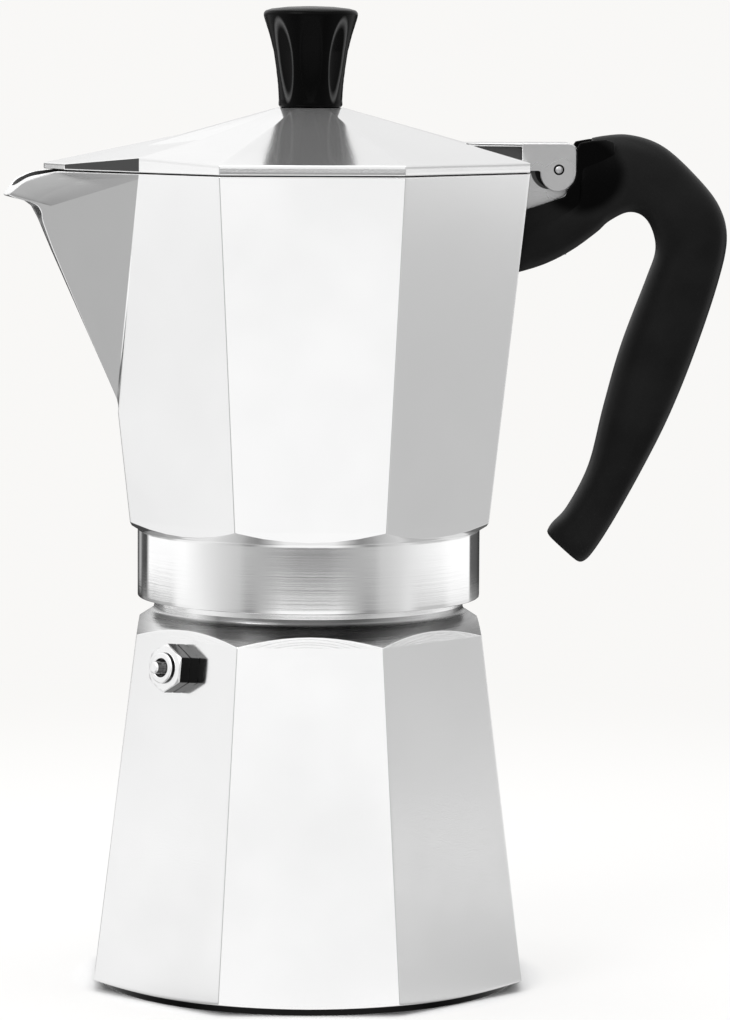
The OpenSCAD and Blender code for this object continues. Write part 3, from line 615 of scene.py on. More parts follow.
class Effects:
    """Shader effects that several finishes share, each as one node group."""

    def __init__(self) -> None:
        """Builds the groups once."""
        self.grain = self._grain()
        self.turning = self._turning()
        self.spout = self._spout()

    def _grain(self) -> Tree:
        """Fine grain: two scales of noise as a normal and as a mask of 0 to 1.

        The height is 0.6 of the fine noise and 0.4 of the coarse one, and the mask is a
        slow noise stretched to its full range.
        """
        g = Group("fine_grain", {"Fine": 3000.0, "Coarse": 300.0, "Depth": 0.1, "Facing": None},
                  {"Normal": "Vector", "Mask": "Float"})
        place = g.place()
        fine, coarse, slow = (
            g.add("TexNoise", {"Vector": place, "Scale": scale, "Detail": detail}).outputs["Fac"]
            for scale, detail in ((g.given["Fine"], 3.0), (g.given["Coarse"], 3.0), (38.0, 4.0)))
        return g.close(Normal=g.bump(g.blend("FLOAT", 0.4, fine, coarse)), Mask=g.spread(slow, (0.35, 0.65)))

    def _turning(self) -> Tree:
        """Marks of a turning tool round the Z axis.

        The distance along the profile is radius + height; noise along it alone gives fine
        rings, and a slow noise over the bearing breaks them up a little.
        """
        g = Group("turning_marks", {"Scale": 2600.0, "Depth": 0.2, "Facing": None},
                  {"Normal": "Vector", "Mask": "Float"})
        place = g.place()
        x, y, z = g.split(place)
        along = g.join(g.maths("ADD", g.vector("LENGTH", g.join(x, y)), z))
        marks = g.add("TexNoise", {"Vector": g.vector("ADD", along, g.scaled(place, 0.01)),
                                   "Scale": g.given["Scale"], "Detail": 4.0, "Roughness": 0.7}).outputs["Fac"]
        return g.close(Normal=g.bump(marks), Mask=marks)

    def _spout(self) -> Tree:
        """Even polish of the cup's facets and of the spout's cheeks.

        Above the chamfer every normal leans down a little. A cheek lies outside the plane
        through the two lines where it leaves the flats, below the crease under the lip and
        beside the blunt keel; there the normal is one fixed direction, mirrored with the
        sign of Y. Above the crease the normal leans towards that direction.
        """
        g = Group("spout_polish", {"Normal": None}, {"Normal": "Vector"})
        place = g.place()
        _, y, z = g.split(place)
        aside = g.maths("ABSOLUTE", y)

        def under_plane(plane: Triple, limit: float) -> Socket:
            """1 where the place's product with the plane's direction is under the limit."""
            return g.maths("LESS_THAN", g.vector("DOT_PRODUCT", place, plane), limit)

        outside = under_plane((1.0, 0.0, -0.1032), -0.05595)
        keel = g.times(under_plane((1.0, 0.0, 0.0), -0.0572), under_plane((0.25, 0.0, 1.0), 0.1588))
        under = g.maths("MAXIMUM", under_plane((-0.3375, 0.0, 1.0), 0.1924), keel)
        nose = g.times(g.maths("SUBTRACT", z, 0.1283), 0.075)
        cheek = g.times(outside, under, g.maths("GREATER_THAN", aside, nose))
        now = g.given["Normal"]
        for towards, share, added in (
                ((0.0, 0.0, -0.05), g.maths("GREATER_THAN", z, 0.1045), True),
                ((-0.45, 0.0, -0.25), g.times(outside, g.maths("SUBTRACT", 1.0, under)), True),
                ((-0.766, 0.552, -0.33), cheek, False),
                ((-0.66, 0.72, -0.2), g.times(cheek, g.maths(
                    "LESS_THAN", aside, g.maths("ADD", nose, 0.00035))), False),
                ((-1.0, 0.03, 0.0), g.times(outside, under, g.maths("LESS_THAN", aside, nose)), False)):
            target = g.join(towards[0], g.times(g.maths("SIGN", y), towards[1]), towards[2])
            now = g.blend("VECTOR", share, now, g.vector("ADD", now, target) if added else target)
        return g.close(Normal=g.vector("NORMALIZE", now))


@dataclass(frozen=True)
class Finish:
    """What every finish has: its name, colour, range of roughness and grain."""

    name: str
    colour: Triple | float
    rough: Pair = (0.18, 0.26)
    fine: float = 3000.0
    coarse: float = 350.0
    grain: float = 0.08

    def grained(self, s: Shader, effects: Effects, facing: Socket) -> tuple[Socket, Socket, Socket]:
        """Normal, mask and roughness of the fine grain."""
        made = s.group(effects.grain, Fine=self.fine, Coarse=self.coarse, Depth=self.grain, Facing=facing)
        return made["Normal"], made["Mask"], s.spread(made["Mask"], (0.0, 1.0), self.rough)


@dataclass(frozen=True)
class Metal(Finish):
    """Bare metal with fine grain and, where it is turned, rings of tool marks, and where asked a painted reflection in
    bands across X.
    """

    ring_scale: float = 2600.0
    rings: float = 0.0
    turned_from: Pair | None = None
    turned_rough: float = 0.16
    dark: float = 0.97
    spout: bool = False
    metallic: float = 1.0
    # Painted reflection: grey levels along X, in millimetres, that multiply the colour
    painted_reflection_bands: tuple[Pair, ...] | None = None

    def build(self, effects: Effects) -> Material:
        """Makes the material.

        Args:
            effects: the shared shader groups.

        Returns:
            The material. Where turned_from gives two heights in millimetres, the marks
            cover only the band of heights between them, mixed in by a mask.
        """
        s = Shader(self.name)
        facing = s.add("NewGeometry").outputs["Normal"]
        if self.spout:
            facing = s.group(effects.spout, Normal=facing)["Normal"]
        normal, mask, rough = self.grained(s, effects, facing)
        if self.rings > 0:
            marks = s.group(effects.turning, Scale=self.ring_scale, Depth=self.rings, Facing=facing)
            cut = s.spread(marks["Mask"], (0.3, 0.7), (self.turned_rough * 0.7, self.turned_rough * 1.4))
            if self.turned_from is None:
                normal, rough, mask = marks["Normal"], cut, marks["Mask"]
            else:
                z = s.split(s.place())[2]
                band = s.times(s.maths("GREATER_THAN", z, self.turned_from[0] * MM),
                               s.maths("LESS_THAN", z, self.turned_from[1] * MM))
                normal = s.blend("VECTOR", band, normal, marks["Normal"])
                rough = s.blend("FLOAT", band, rough, cut)
        colour = s.blend("RGBA", mask, rgba(self.colour), rgba(self.colour, self.dark))
        # Painted reflection in bands across X
        if self.painted_reflection_bands is not None:
            colour = self._painted_reflection(s, colour)
        return s.close(s.add("BsdfPrincipled", {"Metallic": self.metallic, "Base Color": colour,
                                                "Roughness": rough, "Normal": normal}).outputs[0])

    def _painted_reflection(self, s: Shader, colour: Socket) -> Socket:
        """Colour times the grey levels of a painted reflection, bands of light and dark, given along X in millimetres.
        """
        across = s.spread(s.split(s.place())[0], (-40 * MM, 40 * MM))
        levels = s.ramp(across, [((x + 40) / 80, level) for x, level in self.painted_reflection_bands])
        return s.blend("RGBA", 1.0, colour, levels, blend_type="MULTIPLY")


@dataclass(frozen=True)
class Moulding(Finish):
    """Moulded material: plastic, silicone or fibre, with a fine grain in its surface, and where asked a painted shade
    beside the hinge or painted highlights along the knob's grooves.
    """

    fine: float = 2400.0
    coarse: float = 240.0
    grain: float = 0.15
    paler: Triple | float = 0.0
    specular: float = 0.5
    # Share of the colour left in a painted shade in the hollow beside the hinge; None leaves it out
    hollow: float | None = None
    # Grey level of a painted highlight along the knob's grooves; None leaves it out
    arcs: float | None = None

    def build(self, effects: Effects) -> Material:
        """Makes the material: grain in the normal, and a slow mask in colour and roughness.

        Args:
            effects: the shared shader groups.

        Returns:
            The material.
        """
        s = Shader(self.name)
        normal, mask, rough = self.grained(s, effects, s.add("NewGeometry").outputs["Normal"])
        colour = s.blend("RGBA", mask, rgba(self.colour), rgba(self.paler))
        # Painted shade in the hollow beside the hinge
        if self.hollow is not None:
            colour = self._painted_hollow_shade(s, colour)
        # Painted highlight along the knob's grooves
        if self.arcs is not None:
            colour = self._painted_highlight_arcs(s, colour)
        return s.close(s.add("BsdfPrincipled", {"Specular IOR Level": self.specular, "Base Color": colour,
                                                "Roughness": rough, "Normal": normal}).outputs[0])

    def _reach(self, s: Shader, at: Socket, middle: Triple, half: Triple) -> Socket:
        """Length of (at - middle) / half, with a part whose half is 0 left out."""
        share = tuple(1 / h if h else 0.0 for h in half)
        return s.vector("LENGTH", s.vector("MULTIPLY_ADD", at, share, tuple(-m * k for m, k in zip(middle, share))))

    def _painted_hollow_shade(self, s: Shader, colour: Socket) -> Socket:
        """Painted shade in the hollow beside the hinge: colour that falls to the share hollow of itself inside an
        ellipse there.

        Seen from the side it is ((x - 59.5) / 9.2)^2 + ((z - 180.6) / 8.4)^2, about 1 at its edge.
        """
        reach = self._reach(s, s.place(), (0.0595, 0.0, 0.1806), (0.0092, 0.0, 0.0084))
        return s.blend("RGBA", s.spread(reach, (0.86, 1.18), smooth=True), rgba(self.colour, self.hollow), colour)

    def _painted_highlight_arcs(self, s: Shader, colour: Socket) -> Socket:
        """Painted highlight: a paler edge along the knob's grooves, at the grooves to either side of the front.

        With off the bearing from the nearest groove, the edge is where
        (off / (GROOVE_WIDE pitch))^2 + ((z - GROOVE_Z) / GROOVE_HALF)^2 is close to 1, with z
        from the knob's foot.

        Args:
            s: the material being made.
            colour: its colour so far.

        Returns:
            The colour with the painted highlight mixed in.
        """
        pitch = math.pi / 4
        x, y, z = s.split(s.place())
        off = s.maths("WRAP", s.maths("ARCTAN2", y, x), pitch / 2, -pitch / 2)
        reach = self._reach(s, s.join(off, z), (0.0, (BOSS_Z + GROOVE_Z) * MM, 0.0),
                            (GROOVE_WIDE * pitch, GROOVE_HALF * MM, 0.0))
        mask = s.times(s.spread(reach, (0.72, 0.96), smooth=True), s.spread(reach, (1.06, 0.92), smooth=True),
                       s.spread(s.maths("ABSOLUTE", x), (0.0025, 0.0055), smooth=True))
        return s.blend("RGBA", mask, colour, rgba(self.arcs))


class Finishes:
    """All finishes of the pot, built once."""

    def __init__(self, effects: Effects) -> None:
        """Builds each finish from its dataclass.

        Args:
            effects: the shared shader groups.
        """
        alloy = 0.86
        self.upper = Metal("polished_upper", alloy, rough=(0.14, 0.18), rings=0.05,
                           turned_from=(80.0, 104.2), turned_rough=0.08, spout=True).build(effects)
        self.lid = Metal("polished_lid", 0.8, rough=(0.10, 0.13), metallic=0.86).build(effects)
        self.plate = Metal("hinge_plate", 0.56, rough=(0.2, 0.3), grain=0.2).build(effects)
        self.rim = Metal("filed_rim", 0.93, rough=(0.42, 0.5)).build(effects)
        # Dark grey finish for painted half shade: inside the spout's lip, under the lid, on the beak's side bands and
        # in the hinge's gaps
        self.half_shade = Metal("painted_half_shade", 0.075, rough=(0.32, 0.42), grain=0.3, coarse=500.0).build(effects)
        # Near-black finish for painted shade: the boiler's foot, the hinge's step and the pin's rings
        self.shade = Metal("painted_dark_shade", 0.012, rough=(0.3, 0.4)).build(effects)
        self.lower = Metal("polished_lower", alloy, rough=(0.14, 0.19), rings=0.5,
                           turned_from=(78.9, 100.0), turned_rough=0.2).build(effects)
        # The turned shoulder carries a painted reflection: bands of grey across X
        self.shoulder = Metal("turned_shoulder", alloy, rings=0.5, turned_rough=0.24, painted_reflection_bands=(
            (-38.0, 0.2), (-33.0, 0.9), (-25.0, 0.9), (-20.0, 0.3), (-14.0, 0.5), (-6.0, 0.2), (8.0, 0.17),
            (18.0, 0.4), (26.0, 0.75), (32.0, 0.35), (38.0, 0.2))).build(effects)
        self.cast = Metal("cast_inside", 0.6, rough=(0.26, 0.36), grain=0.3, coarse=500.0).build(effects)
        self.sheet = Metal("spun_sheet", (0.80, 0.80, 0.81), rough=(0.2, 0.3), rings=0.3,
                           turned_rough=0.26).build(effects)
        self.valve = Metal("plated_valve", 0.13, rough=(0.12, 0.22), grain=0.12, dark=0.7).build(effects)
        # Lighter and darker copies of the valve's finish: painted highlight on its front faces and the stem's tip,
        # painted shade on one hex face, the flange's chamfer at the seam and the cap's recess
        self.valve_highlight = Metal("painted_valve_highlight", 0.9, rough=(0.24, 0.34)).build(effects)
        self.valve_shade = Metal("painted_valve_shade", 0.012, rough=(0.16, 0.26), dark=0.5).build(effects)
        self.steel = Metal("drawn_steel", (0.62, 0.62, 0.63), rough=(0.2, 0.3), grain=0.1).build(effects)
        self.silicone = Moulding("white_silicone", (0.80, 0.79, 0.76), (0.5, 0.62),
                                 paler=(0.74, 0.73, 0.70), specular=0.35).build(effects)
        self.fibre = Moulding("pressed_fibre", (0.42, 0.29, 0.18), (0.7, 0.85),
                              paler=(0.52, 0.38, 0.25), grain=0.5).build(effects)
        # The handle's bakelite falls to 0.15 of its colour in a painted shade beside the hinge
        self.bakelite = Moulding("satin_bakelite", 0.005, (0.34, 0.44), paler=0.011, grain=0.5,
                                 specular=0.03, hollow=0.15).build(effects)
        # The knob's moulding gets a painted highlight of grey 0.08 along its grooves' edges
        self.gloss = Moulding("moulded_knob", 0.0012, (0.2, 0.28), paler=0.002, grain=0.12,
                              specular=0.045, arcs=0.08).build(effects)


# ---------------------------------------------------------------- pieces


def thread_rows(crest: float, root: float, bearing: Array) -> list[Array]:
    """Rows of thread crests and roots, from the bottom up.

    Each turn is crest at 0.1, root at 0.45 and 0.6, crest at 0.95 of a pitch.
    """
    return [turned(r, SKIRT_Z + (turn + share) * THREAD_PITCH, bearing) for turn in range(THREAD_TURNS)
            for r, share in ((crest, 0.1), (root, 0.45), (root, 0.6), (crest, 0.95))]


@dataclass
class Boiler:
    """Boiler: tapered flats between a turned foot and a turned shoulder, with a threaded neck."""

    finishes: Finishes
    foot_flat: float = 47.4
    shoulder_flat: float = 38.1
    foot_h: float = 2.4
    foot_angle: float = 13.0
    foot_ring: Pair = (47.0, 1.4)
    shoulder_angle: float = 33.0
    foot_r: float = 46.8
    neck_r: float = 34.5
    neck_top_z: float = 94.57
    bore_r: float = 31.0
    wall: float = 3.0
    floor: float = 3.5
    corner_ease: float = 0.55

    def flat(self, z: float) -> float:
        """Flat distance at height z, straight from the foot's corners to the shoulder's."""
        share = (z - self.foot_h) / (SHOULDER_Z - self.foot_h)
        return self.foot_flat + (self.shoulder_flat - self.foot_flat) * share

    def build(self) -> Object:
        """Builds the boiler as one closed net, from the middle of its foot round to its floor."""
        top = 90.0
        low, high = (rings(octagon(self.flat(z), z)[None], self.corner_ease, 9)[0] for z in (0.0, top))
        bearing = bearings(low)

        def section(z: Array) -> Array:
            """Points of the flats, straight in z between the two rings."""
            return low + (high - low) * (z / top)[:, None]

        ring_r, ring_z = self.foot_ring
        foot_slope = math.tan(math.radians(self.foot_angle))
        shoulder_slope = math.tan(math.radians(self.shoulder_angle))
        corner = self.shoulder_flat / math.cos(HALF_SIDE)
        z_low = meeting_height(section, lambda z: ring_r + (z - ring_z) / foot_slope, -2.0, 10.0, len(low))
        z_high = meeting_height(section, lambda z: corner - (z - SHOULDER_Z) / shoulder_slope,
                                60.0, 86.0, len(low))
        neck_z = SHOULDER_Z + (corner - self.neck_r) * shoulder_slope
        rows = [turned(r, z, bearing) for r, z in (
            (10.0, 0.35), (39.4, 0.35), (40.2, 0.0), (self.foot_r, 0.0), (ring_r, ring_z))]
        rows += [section(z_low), section(z_high), turned(self.neck_r, neck_z, bearing)]
        rows += thread_rows(self.neck_r, self.neck_r - 0.9, bearing)
        rows += [turned(r, z, bearing) for r, z in (
            (self.neck_r, self.neck_top_z - 0.6), (self.neck_r - 0.6, self.neck_top_z),
            (self.bore_r, self.neck_top_z), (self.bore_r, SHOULDER_Z + 1.0),
            (self.flat(SHOULDER_Z) - self.wall, SHOULDER_Z - self.wall),
            (self.flat(self.floor) - self.wall, self.floor), (6.0, self.floor))]
        ease = np.full(len(rows), 0.25)
        ease[3:9] = (0.35, 0.15, 0.3, 0.35, 1.4, 0.2)
        ease[-3:] = (2.5, 7.0, 0.2)
        net = rounded(np.stack(rows), ease[:, None], False, 6, 5, 0.5)
        body = net_object("boiler_body", net, self.finishes.lower)
        step = 6 + 5 + 2
        # Painted shade: the foot, its ring and its underside are near black; the band above the flats is the turned
        # shoulder
        paint(body, net.shape[1], [(1, 0, 5 * step - 3), (2, 6 * step - 2, 7 * step + 1)],
              self.finishes.shade, self.finishes.shoulder)
        return dress(body, "boiler", Slot.CAST, "boiler")


@dataclass
class Valve:
    """Safety valve: a flange and a cap, both six-sided, along the flat's own normal."""

    finishes: Finishes
    corner: float = 5.35
    seam: float = 2.75
    face: float = 5.95
    foot: float = -6.0
    floor: float = -5.2
    plunger_r: float = 2.64

    def place(self, flat: float) -> Matrix:
        """Turns the valve's axis 225 degrees round and up by the lean of the flat."""
        lean = math.atan(9.3 / 76.6)
        return (Matrix.Rotation(math.radians(225), 4, "Z") @ Matrix.Translation((flat, 0.0, VALVE_Z))
                @ Matrix.Rotation(math.pi / 2 - lean, 4, "Y"))

    def piece(self, name: str, profile: Sequence[Pair], parts: Sequence[tuple[int, int, int]],
              place: Matrix) -> Object:
        """Six-sided piece: a closed profile of (turned radius, height), cut by six flats.

        A point's radius is the smaller of the turned radius and flat / cos(off), with off
        its bearing from the nearest flat's normal.

        Args:
            name: the object's name.
            profile: radius and height of each ring, round and back.
            parts: each turned part's material index, 1 for painted shade and 2 for painted highlight, and its first and
                last ring.
            place: where its own axis stands, in millimetres.

        Returns:
            The object.
        """
        columns, arc, between = 192, 4, 3
        bearing = circle(columns)
        off = (bearing % (math.pi / 3)) - math.pi / 6
        radius, height = eased(profile, 0.14, True, arc, between, 0.2)
        radius = np.minimum(radius, self.corner * math.cos(math.pi / 6) / np.cos(off))
        made = net_object(name, turned(radius, height, bearing), self.finishes.valve, True, place)
        step = arc + between + 2
        # Painted shade on the hex face between 60 and 120 degrees round
        patches = [(1, 0, None, columns // 6, columns // 3 + 1)]
        patches += [(index, first * step + 2, last * step + 2) for index, first, last in parts]
        return paint(made, columns, patches, self.finishes.valve_shade, self.finishes.valve_highlight)

    def build(self, flat: float) -> list[Object]:
        """Builds the flange with its shank, the cap with its ring, and the stem, flat being the wall's distance.

        Args:
            flat: distance of the boiler's flat from its axis at the valve's height.

        Returns:
            The three pieces.
        """
        place = self.place(flat)
        foot, floor, wide = self.foot, self.floor, self.plunger_r
        c, s, f = self.corner + 0.2, self.seam, self.face
        # Painted shade on the flange's chamfer at the seam
        flange = self.piece("valve_flange", [
            (1.37, foot), (3.58, foot), (3.58, -0.02), (4.75, -0.02), (c, 0.4), (c, s - 0.3), (4.9, s - 0.12),
            (2.7, s), (2.7, floor), (1.37, floor)], [(1, 5, 7)], place)
        # Painted highlight on the cap's front face and its ring's face, painted shade in the recess inside the ring
        cap = self.piece("valve_cap_nut", [
            (2.7, s + 0.02), (4.9, s + 0.14), (c, s + 0.3), (c, f - 0.5), (4.75, f), (3.4, f),
            (3.35, f + 0.9), (3.1, f + 1.15), (2.1, f + 1.15), (2.0, f - 0.9), (1.42, f - 0.9),
            (1.42, 4.0), (2.7, 4.0)], [(2, 3, 5), (2, 6, 8), (1, 8, 11)], place)
        columns = 64
        stem = lathe("valve_stem_turned", [
            (0.05, floor + 0.02), (wide, floor + 0.02), (wide, floor + 1.3), (1.34, floor + 1.3), (1.34, 5.6),
            (1.1, 5.8), (1.1, 6.2), (1.3, 6.4), (1.3, 6.8), (1.1, 7.0), (1.1, 7.4), (1.34, 7.6), (1.34, 8.95),
            (1.0, 9.3), (0.05, 9.3)], self.finishes.valve, 0.08, columns, False, place, 0.06)
        # Painted highlight on the stem's tip
        paint(stem, columns, [(1, 12 * (ARC + 1 + 2), None)], self.finishes.valve_highlight)
        cap.visible_glossy = stem.visible_glossy = False
        return [dress(flange, "boiler", Slot.BRASS, "valve_body"), dress(cap, "boiler", Slot.BRASS, "valve_cap"),
                dress(stem, "valve_stem", Slot.STEEL, "valve_stem")]


@dataclass
class Collector:
    """Collector: faceted cup with a turned skirt, a V spout with its lip, and the hinge lug."""

    finishes: Finishes
    foot_flat: float = 39.5
    rim_flat: float = 47.8
    corner_z: float = 104.09
    band_r: float = 38.2
    chamfer: float = 31.5
    wall: float = 2.2
    bore_r: float = 6.82
    seat_r: float = 29.2
    seal_r: float = 32.8
    thread_r: float = 35.65
    crest_r: float = 34.75
    seat_z: float = 99.37
    seal_z: float = 94.97
    keel_foot_z: float = 128.3
    cheek_top: float = 30.4
    shares: Triple = (0.0, 0.36, 0.68)
    nose: Triple = (0.5, -2.7, 0.0)
    keel: tuple[Pair, ...] = (
        (-57.6, 163.3), (-60.4, 170.0), (-62.4, 172.9), (-64.6, 174.6), (-66.9, 174.9), (-68.5, 175.2))
    mouth: Triple = (0.75, 0.4, 0.1)

    def flat(self, z: float) -> float:
        """Flat distance at height z, straight from the chamfer's corners to the rim's."""
        return self.foot_flat + (self.rim_flat - self.foot_flat) * (z - self.corner_z) / (RIM_Z - self.corner_z)

    def control_row(self, z: float, keel: Pair | None = None, side: Sequence[Triple] | None = None,
                    cheek_z: float | None = None) -> Array:
        """Fifteen corners of one row, anticlockwise from the first corner past +X.

        Six are the eight-sided body's. Two are where the cheeks leave the flats: their
        distance from the middle plane grows evenly from the octagon's corner at the
        spout's foot to the rim. One is the keel, and three lie on each cheek.

        Args:
            z: height of the body's corners.
            keel: the keel's X and height; None below the spout's foot.
            side: the three points on the near cheek, from the keel, or None for a straight one.
            cheek_z: height where the cheek leaves the flat, if it isn't z.

        Returns:
            Shape (15, 3).
        """
        f = self.flat(z)
        corners = octagon(f, z)
        if keel is None:
            y, height = f * math.tan(HALF_SIDE), z
            k = np.array([-f, 0.0, z])
        else:
            height = z if cheek_z is None else cheek_z
            start = self.flat(self.keel_foot_z) * math.tan(HALF_SIDE)
            y = start + (self.cheek_top - start) * (height - self.keel_foot_z) / (RIM_Z - self.keel_foot_z)
            k = np.array([keel[0], 0.0, keel[1]])
        joint = np.array([y - self.flat(height) * math.sqrt(2), -y, height])
        if side is None:
            nose = k + (joint - k) * 0.05 if height < self.keel_foot_z + 1 else k + np.array(self.nose)
            side = nose + (joint - nose) * np.array(self.shares)[:, None]
        near = np.array([*side, joint])
        return np.concatenate([corners[:3], (near * MIRROR)[::-1], k[None], near, corners[5:]])

    def outer_rows(self) -> Array:
        """Control rows of the outside, from the band up to the rim, shape (8, 15, 3)."""
        crease_joint = np.array([-37.35, -29.9, 179.8])
        low = np.array([-57.2, -7.8, 173.1])
        crease = np.array([low + (crease_joint - low) * share for share in (0.0, 0.34, 0.67)])
        rim = np.array([(-66.9, -3.8, 176.0), (-63.2, -7.2, 178.8), (-56.6, -11.6, 180.8)])
        half = 0.5 * (crease + rim) + np.array([(0.6, 0.3, -0.5), (0.5, 0.5, -0.3), (0.3, 0.3, 0.0)])
        most = 0.2 * crease + 0.8 * rim + np.array([0.3, 0.2, -0.3])
        k, foot_z = self.keel, self.keel_foot_z
        rows = np.stack([self.control_row(*row) for row in (
            (BAND_Z,), (foot_z, (-self.flat(foot_z), foot_z)), (163.3, k[0]), (170.0, k[1]),
            (179.2, k[2], crease, 179.8), (179.9, k[3], half, 180.2), (180.4, k[4], most, 180.5),
            (RIM_Z, k[5], rim, RIM_Z))])
        for row, share in ((5, 0.5), (6, 0.8), (7, 1.0)):
            rows[row, 4:7, 2] += share * np.array(self.mouth[::-1])
            rows[row, 8:11, 2] -= share * np.array(self.mouth)
        return rows

    def inner_rows(self, outer: Array) -> Array:
        """Control rows of the inside: the outer ones moved in by the wall, and up in the lip.

        The keel's points also rise by up to 1.9, because there the wall lies flat, and the
        cheek's points by less the further they are from it.

        Args:
            outer: control rows of the outside.

        Returns:
            An array of the outer rows' shape.
        """
        inset = np.full(outer.shape[:2], self.wall)
        inset[4:, 4:11] = 1.7
        rows = mitred(outer, inset)
        lift = np.array([0.0, 0.0, 0.4, 1.0, 1.6, 1.8, 1.9, 1.8])
        across = np.array([0, 0, 0, 0, 0.1, 0.3, 0.6, 1.0, 0.6, 0.3, 0.1, 0, 0, 0, 0])
        rows[..., 2] += lift[:, None] * across
        rows[-1, :, 2] = np.maximum(rows[-1, :, 2], outer[-1, :, 2])
        rows[-1, 5:10, 2] += (0.7, 1.3, 0.4, 1.3, 0.7)
        return rows

    def build(self) -> list[Object]:
        """Builds the cup as a net closed both ways, and the lug behind it."""
        outer = self.outer_rows()
        radius = np.full(outer.shape[:2], 0.55)
        radius[:, 4:11] = 0.4
        radius[:, 7] = 0.9
        radius[3:, 7] = (1.6, 2.6, 3.5, 3.5, 3.5)
        radius[4:, 6] = radius[4:, 8] = 4.0
        radius[4:, 5] = radius[4:, 9] = 6.0
        least = np.full(outer.shape[1], 0.06)
        least[[4, 5, 6, 8, 9, 10]] = 1.6
        out = rings(outer, radius, 5, least=least)
        inn = rings(self.inner_rows(outer), radius + 0.8, 5, least=least)
        low, high = out[0], out[1]
        bearing = bearings(low)
        span = self.keel_foot_z - BAND_Z

        def section(z: Array) -> Array:
            """Points of the flats below the spout, straight in z."""
            return low + (high - low) * ((z - BAND_Z) / span)[:, None]

        slope = math.tan(math.radians(self.chamfer))
        z_cut = meeting_height(section, lambda z: self.band_r + (z - BAND_Z) / slope, 99.0, 112.0, len(low))
        base_in = inn[0] + (inn[1] - inn[0]) * ((FLOOR_Z - BAND_Z) / span)
        ramp_r = self.flat(FLOOR_Z) - self.wall - 4.0
        wall_foot = base_in + (inn[1] - inn[0]) / span * (np.hypot(*base_in[:, :2].T) - ramp_r)[:, None]
        rows = [turned(r, z, bearing) for r, z in (
            (self.bore_r, CEILING_Z), (self.seat_r, CEILING_Z), (self.seat_r, self.seat_z),
            (self.seal_r, self.seat_z), (self.seal_r, self.seal_z), (self.crest_r, self.seal_z))]
        rows += thread_rows(self.crest_r, self.thread_r, bearing)[::-1]
        rows += [turned(r, z, bearing) for r, z in (
            (self.thread_r, SKIRT_Z), (self.band_r, SKIRT_Z), (self.band_r, BAND_Z))]
        start = len(rows)
        rows += [section(z_cut), *out[1:], *inn[:0:-1], wall_foot]
        rows += [turned(r, FLOOR_Z, bearing) for r in (ramp_r, self.bore_r)]
        ease = np.full(len(rows), 0.2)
        ease[start - 2:start + 15] = (0.35, 0.3, 0.3, 0.5, 5.0, 5.0, 1.2, 2.0, 2.0, 0.35,
                                      0.35, 2.0, 2.0, 1.2, 5.0, 5.0, 0.5)
        ease[-3:] = (2.0, 2.0, 0.3)
        net = rounded(np.stack(rows), ease[:, None], True, ARC, 4, 0.5)
        cup = net_object("collector_body", net, self.finishes.upper, True)
        step, rim = ARC + 4 + 2, start + 8
        # Index 1 is painted half shade inside the spout by the rim; 2 is the filed rim, and 3 the cast inside
        paint(cup, net.shape[1], [
            (3, rim * step + 4, None), (1, rim * step + 4, (rim + 4) * step, 46, 143),
            (3, (start - 3) * step + 4, (start - 2) * step), (3, 0, (start - 3) * step),
            (2, (rim - 1) * step + 2, rim * step + 3)],
              self.finishes.half_shade, self.finishes.rim, self.finishes.cast)
        return [dress(cup, "collector", Slot.POLISHED, "collector"), *self.lug()]

    def lug(self) -> list[Object]:
        """Builds the web, the knuckle round the hinge pin, two dark sheets of painted shade beside it, the pin and the
        handle's tongue.
        """
        f = self.finishes
        wall_x = self.flat(LUG_Z) - 1.1
        web = [(wall_x, LUG_Z), (HINGE_X - 1, RIM_Z - 6.6), (HINGE_X + 1.5, RIM_Z - 5.4),
               (HINGE_X + 2.3, RIM_Z - 4.4), (HINGE_X, HINGE_Z), (wall_x, RIM_Z - 0.3)]
        tongue = [(wall_x, LUG_Z - 4.2), (59.0, LUG_Z - 4.2), (59.0, RIM_Z - 5.4), (wall_x, RIM_Z - 5.4)]
        a = circle(24)
        knuckle = list(zip(HINGE_X + 3.7 * np.cos(a), HINGE_Z + 3.7 * np.sin(a)))
        made = [plate("hinge_web", web, -4.2, 4.2, f.plate, 0.5, 0.35),
                plate("handle_tongue", tongue, -3.0, 3.0, f.plate, 0.4, 0.3),
                plate("hinge_knuckle", knuckle, -4.2, 4.2, f.plate, 1.0, 0.3)]
        # Painted shade: two thin dark sheets, the second a step smaller and darker, lie on the web's sides below and
        # left of the knuckle
        b = np.radians(np.linspace(184, 256, 14))
        for name, reach, half, finish in (("hinge_shade_sheet", 6.1, 4.24, f.half_shade),
                                          ("hinge_shade_sheet_step", 5.2, 4.28, f.shade)):
            arm = np.concatenate([reach - (reach - 4.3) * np.linspace(0, 1, 14) ** 2, np.full(14, 3.0)])
            way = np.concatenate([b, b[::-1]])
            sector = list(zip(HINGE_X + arm * np.cos(way), HINGE_Z + arm * np.sin(way)))
            made.append(plate(name, sector, -half, half, finish, 0.1, 0.05))
        place = Matrix.Translation((HINGE_X, 0.0, HINGE_Z)) @ Matrix.Rotation(math.pi / 2, 4, "X")
        half = [(0.76, 6.95), (0.55, 7.12), (0.05, 7.15)]
        pin = lathe("hinge_pin_turned", [(r, -z) for r, z in half[::-1]] + half, f.steel, 0.08, 48, False, place, 0.05)
        return [dress(o, "collector", Slot.POLISHED) for o in made] + [
            dress(pin, "collector", Slot.STEEL, "hinge_pin")]


